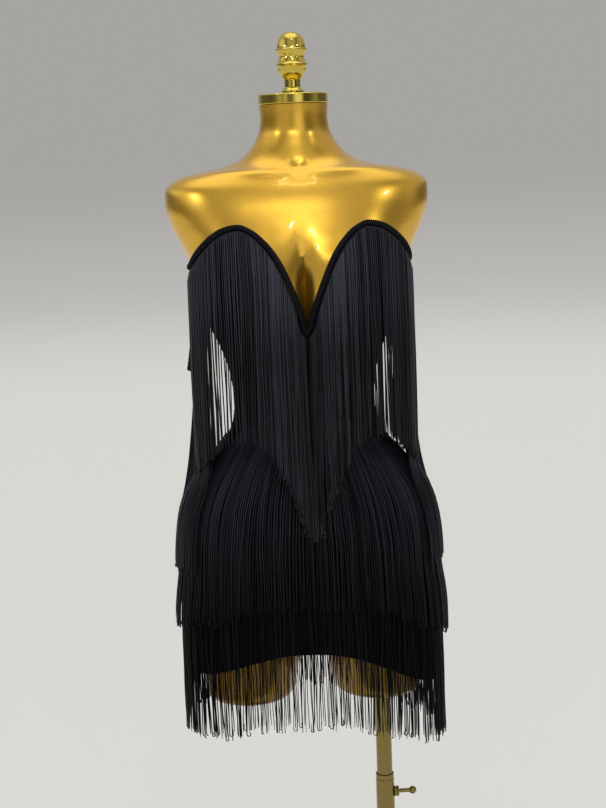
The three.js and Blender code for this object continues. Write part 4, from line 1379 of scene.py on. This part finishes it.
GOLD = gold_form()
POLISHED = polished_gold()
POLE = pole_gold()
KNIT = black_knit()
CORD = black_cord()
YARN_TONES = [
    (0.0, (0.001, 0.001, 0.0015)), (0.35, (0.004, 0.004, 0.006)), (1.0, (0.027, 0.029, 0.039)),
]
# Painted light: the neck and side yarn is twice as light above the bust, where light falls from overhead.
NECK_YARN_PAINTED_LIGHT = black_yarn("black_yarn", 0.14, (1.1, 1.21, 1.0, 2.0), YARN_TONES)
# Painted light and shade: the hip yarn is darker low down and lighter high up.
HIP_YARN_PAINTED_SHADE = black_yarn("black_yarn_hips_painted_shade", 0.1, (0.72, 0.95, 0.45, 2.1), YARN_TONES)
# Painted shade: the low fringe is a darker copy of the yarn, with less gloss, and is also darker towards the
# bottom.
LOW_YARN_PAINTED_SHADE = black_yarn("black_yarn_low_painted_shade", 0.05, (0.62, 0.76, 0.9, 1.2), [
    (0.0, (0.001, 0.001, 0.0012)), (0.35, (0.002, 0.002, 0.003)), (1.0, (0.009, 0.009, 0.011)),
])

SHEET_NODES = {
    "bodice_left": "bodice_front_left", "bodice_right": "bodice_front_right",
    "bodice_rear": "bodice_back", "skirt_tube_front": "skirt_front", "skirt_tube_rear": "skirt_back",
    "wing_left": "side_wing_left", "wing_right": "side_wing_right",
}
FRINGE_NODES = {
    "fringe_left": (NECK_YARN_PAINTED_LIGHT, "fringe_neck_left"),
    "fringe_right": (NECK_YARN_PAINTED_LIGHT, "fringe_neck_right"),
    "fringe_side_curtain_left": (NECK_YARN_PAINTED_LIGHT, "fringe_side_left"),
    "fringe_side_curtain_right": (NECK_YARN_PAINTED_LIGHT, "fringe_side_right"),
    "fringe_hips_front": (HIP_YARN_PAINTED_SHADE, "fringe_hip_front"),
    "fringe_hips_rear": (HIP_YARN_PAINTED_SHADE, "fringe_hip_back"),
    "fringe_low_front": (LOW_YARN_PAINTED_SHADE, "fringe_hem_front"),
    "fringe_low_rear": (LOW_YARN_PAINTED_SHADE, "fringe_hem_back"),
}

# Object, material, slot, body, CAD nodes that it replaces, edge angle
PIECES = [
    (base, POLE, "pole_gold", "stand", ["base_plate"], 40),
    (tube, POLE, "pole_gold", "stand", ["pole_tube"], 40),
    (boss, POLE, "pole_gold", "stand", [], 40),
    (screw, POLE, "pole_gold", "clamp", ["clamp_screw"], 40),
    (rod, POLE, "pole_gold", "rod", ["pole_rod"], 40),
    (form, GOLD, "form_gold", "form", ["form_torso"], 40),
    (cap, POLISHED, "polished_gold", "form", ["neck_cap"], 30),
    (finial, POLISHED, "polished_gold", "form", ["neck_finial"], 35),
]
for name, node in SHEET_NODES.items():
    PIECES.append((sheets[name], KNIT, "black_cloth", "form", [node], None))
PIECES.append((band_front, CORD, "black_trim", "form", ["neck_binding_front"], None))
PIECES.append((band_back, CORD, "black_trim", "form", ["neck_binding_back"], None))
for name, (yarn, node) in FRINGE_NODES.items():
    PIECES.append((fringes[name], yarn, "black_fringe", "form", [node], None))

for obj, material, slot, body, nodes, angle in PIECES:
    obj.data.materials.clear()
    obj.data.materials.append(material)
    if angle:
        shade(obj, angle)
    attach(obj, body)
    if nodes:
        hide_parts(*nodes)

# Floor and room
FLOOR = {"size": 30, "shade_start": 6.0, "shade_full": 15.0}
bpy.ops.mesh.primitive_plane_add(size=FLOOR["size"], location=(0, 0, 0))
floor = bpy.context.object
floor.name = "floor"
floor_material, floor_shader = new_material("pale_floor", (0.8, 0.8, 0.79), 0.75)
floor_place = add_node(floor_material, "ShaderNodeTexCoord")
distance = add_node(floor_material, "ShaderNodeVectorMath")
distance.operation = "LENGTH"
link(floor_material, floor_place.outputs["Object"], distance.inputs[0])
# Painted shade: the floor's colour is darker far from the form, where less light reaches it.
floor_painted_shade = tree_range(
    floor_material.node_tree, distance.outputs["Value"], FLOOR["shade_start"], FLOOR["shade_full"],
)
floor_color = ramp(floor_material, floor_painted_shade, [(0.0, (0.87, 0.87, 0.86)), (1.0, (0.63, 0.625, 0.62))])
link(floor_material, floor_color, floor_shader.inputs["Base Color"])
uneven_gloss(floor_material, floor_shader, 30, 3, 0.65, 0.85)
floor_shader.inputs["Specular IOR Level"].default_value = 0.1
floor.data.materials.append(floor_material)

# Each row: direction from, direction to, level before, level after
ROOM = {
    "overhead": (0.12, 0.4, 0.0, 0.12), "zenith": (0.72, 0.92, 0.0, 0.95),
    "wall_low": (-0.1, 0.0, 0.5, 0.38), "bars": (-1.0, 1.0, 0.2, 1.05),
    "ahead": (-0.3, 0.1, 1.0, 0.0), "below_ceiling": (0.25, 0.45, 1.0, 0.0),
    "sides": (0.45, 0.9, 0.0, 1.0), "sides_low": (0.1, 0.4, 0.65, 0.0),
    "column_in": (0.42, 0.56, 0.0, 1.0), "column_out": (0.64, 0.78, 1.0, 0.0),
    "column_low": (0.7, 0.85, 0.5, 0.0), "left": (-0.95, -0.7, 1.0, 0.0),
    "left_high": (0.15, 0.4, 0.0, 0.5),
}
BARS_ACROSS = 7.0
ROOM_TINT = {"Red": 1.0, "Green": 0.985, "Blue": 0.95}

world = bpy.data.worlds.new("pale_room")
world.use_nodes = True
room = world.node_tree
directions = split(room, room.nodes.new("ShaderNodeTexCoord").outputs["Generated"])


def step_of(name, source):
    return tree_range(room, source, *ROOM[name])


def product(first, second):
    return tree_math(room, "MULTIPLY", first, second)


def total(first, second):
    return tree_math(room, "ADD", first, second)


def darkened(value, share):
    return product(value, tree_math(room, "SUBTRACT", 1.0, share))


level = total(step_of("overhead", directions["Z"]), step_of("zenith", directions["Z"]))
level = total(level, step_of("wall_low", directions["Z"]))
bars = step_of("bars", tree_math(room, "SINE", product(directions["X"], BARS_ACROSS), 0.0))
ahead = step_of("ahead", directions["Y"])
low_ahead = product(ahead, step_of("below_ceiling", directions["Z"]))
level = total(level, product(low_ahead, tree_math(room, "SUBTRACT", bars, level)))
aside = tree_math(room, "ABSOLUTE", directions["X"], 0.0)
level = darkened(level, product(step_of("sides", aside), step_of("sides_low", directions["Z"])))
column = product(step_of("column_in", aside), step_of("column_out", aside))
column = product(column, product(ahead, step_of("column_low", directions["Z"])))
level = darkened(level, column)
level = total(level, product(step_of("left", directions["X"]), step_of("left_high", directions["Z"])))
tint = room.nodes.new("ShaderNodeCombineColor")
for channel, share in ROOM_TINT.items():
    room.links.new(product(level, share), tint.inputs[channel])
room.links.new(tint.outputs["Color"], room.nodes["Background"].inputs["Color"])
room.nodes["Background"].inputs["Strength"].default_value = 1.0
bpy.context.scene.world = world


def area_light(name, place, aim_height, size, power):
    data = bpy.data.lights.new(name, "AREA")
    data.shape = "RECTANGLE"
    data.size, data.size_y = size
    data.energy = power
    light = placed(name, data)
    light.location = place
    light.rotation_mode = "QUATERNION"
    aim = Vector((0, 0, aim_height)) - Vector(place)
    light.rotation_quaternion = aim.to_track_quat("-Z", "Y")


# Place, height aimed at, size and power
for name, lamp in {
    "tube_middle": ((-0.1, -1.6, 2.0), 1.3, (0.16, 0.03), 1.2),
    "tube_left": ((-0.4, -1.6, 1.98), 1.3, (0.14, 0.03), 1.0),
    "tube_right": ((0.2, -1.6, 2.1), 1.3, (0.06, 0.03), 0.5),
    "tube_top": ((0.1, -1.4, 2.85), 1.3, (0.3, 0.04), 0.6),
    "lamp_left": ((-1.6, -1.0, 2.2), 1.3, (0.16, 0.06), 2.0),
    "lamp_right": ((1.3, -1.2, 2.2), 1.2, (0.12, 0.05), 1.2),
}.items():
    area_light(name, *lamp)

bpy.context.scene.view_settings.view_transform = "Standard"
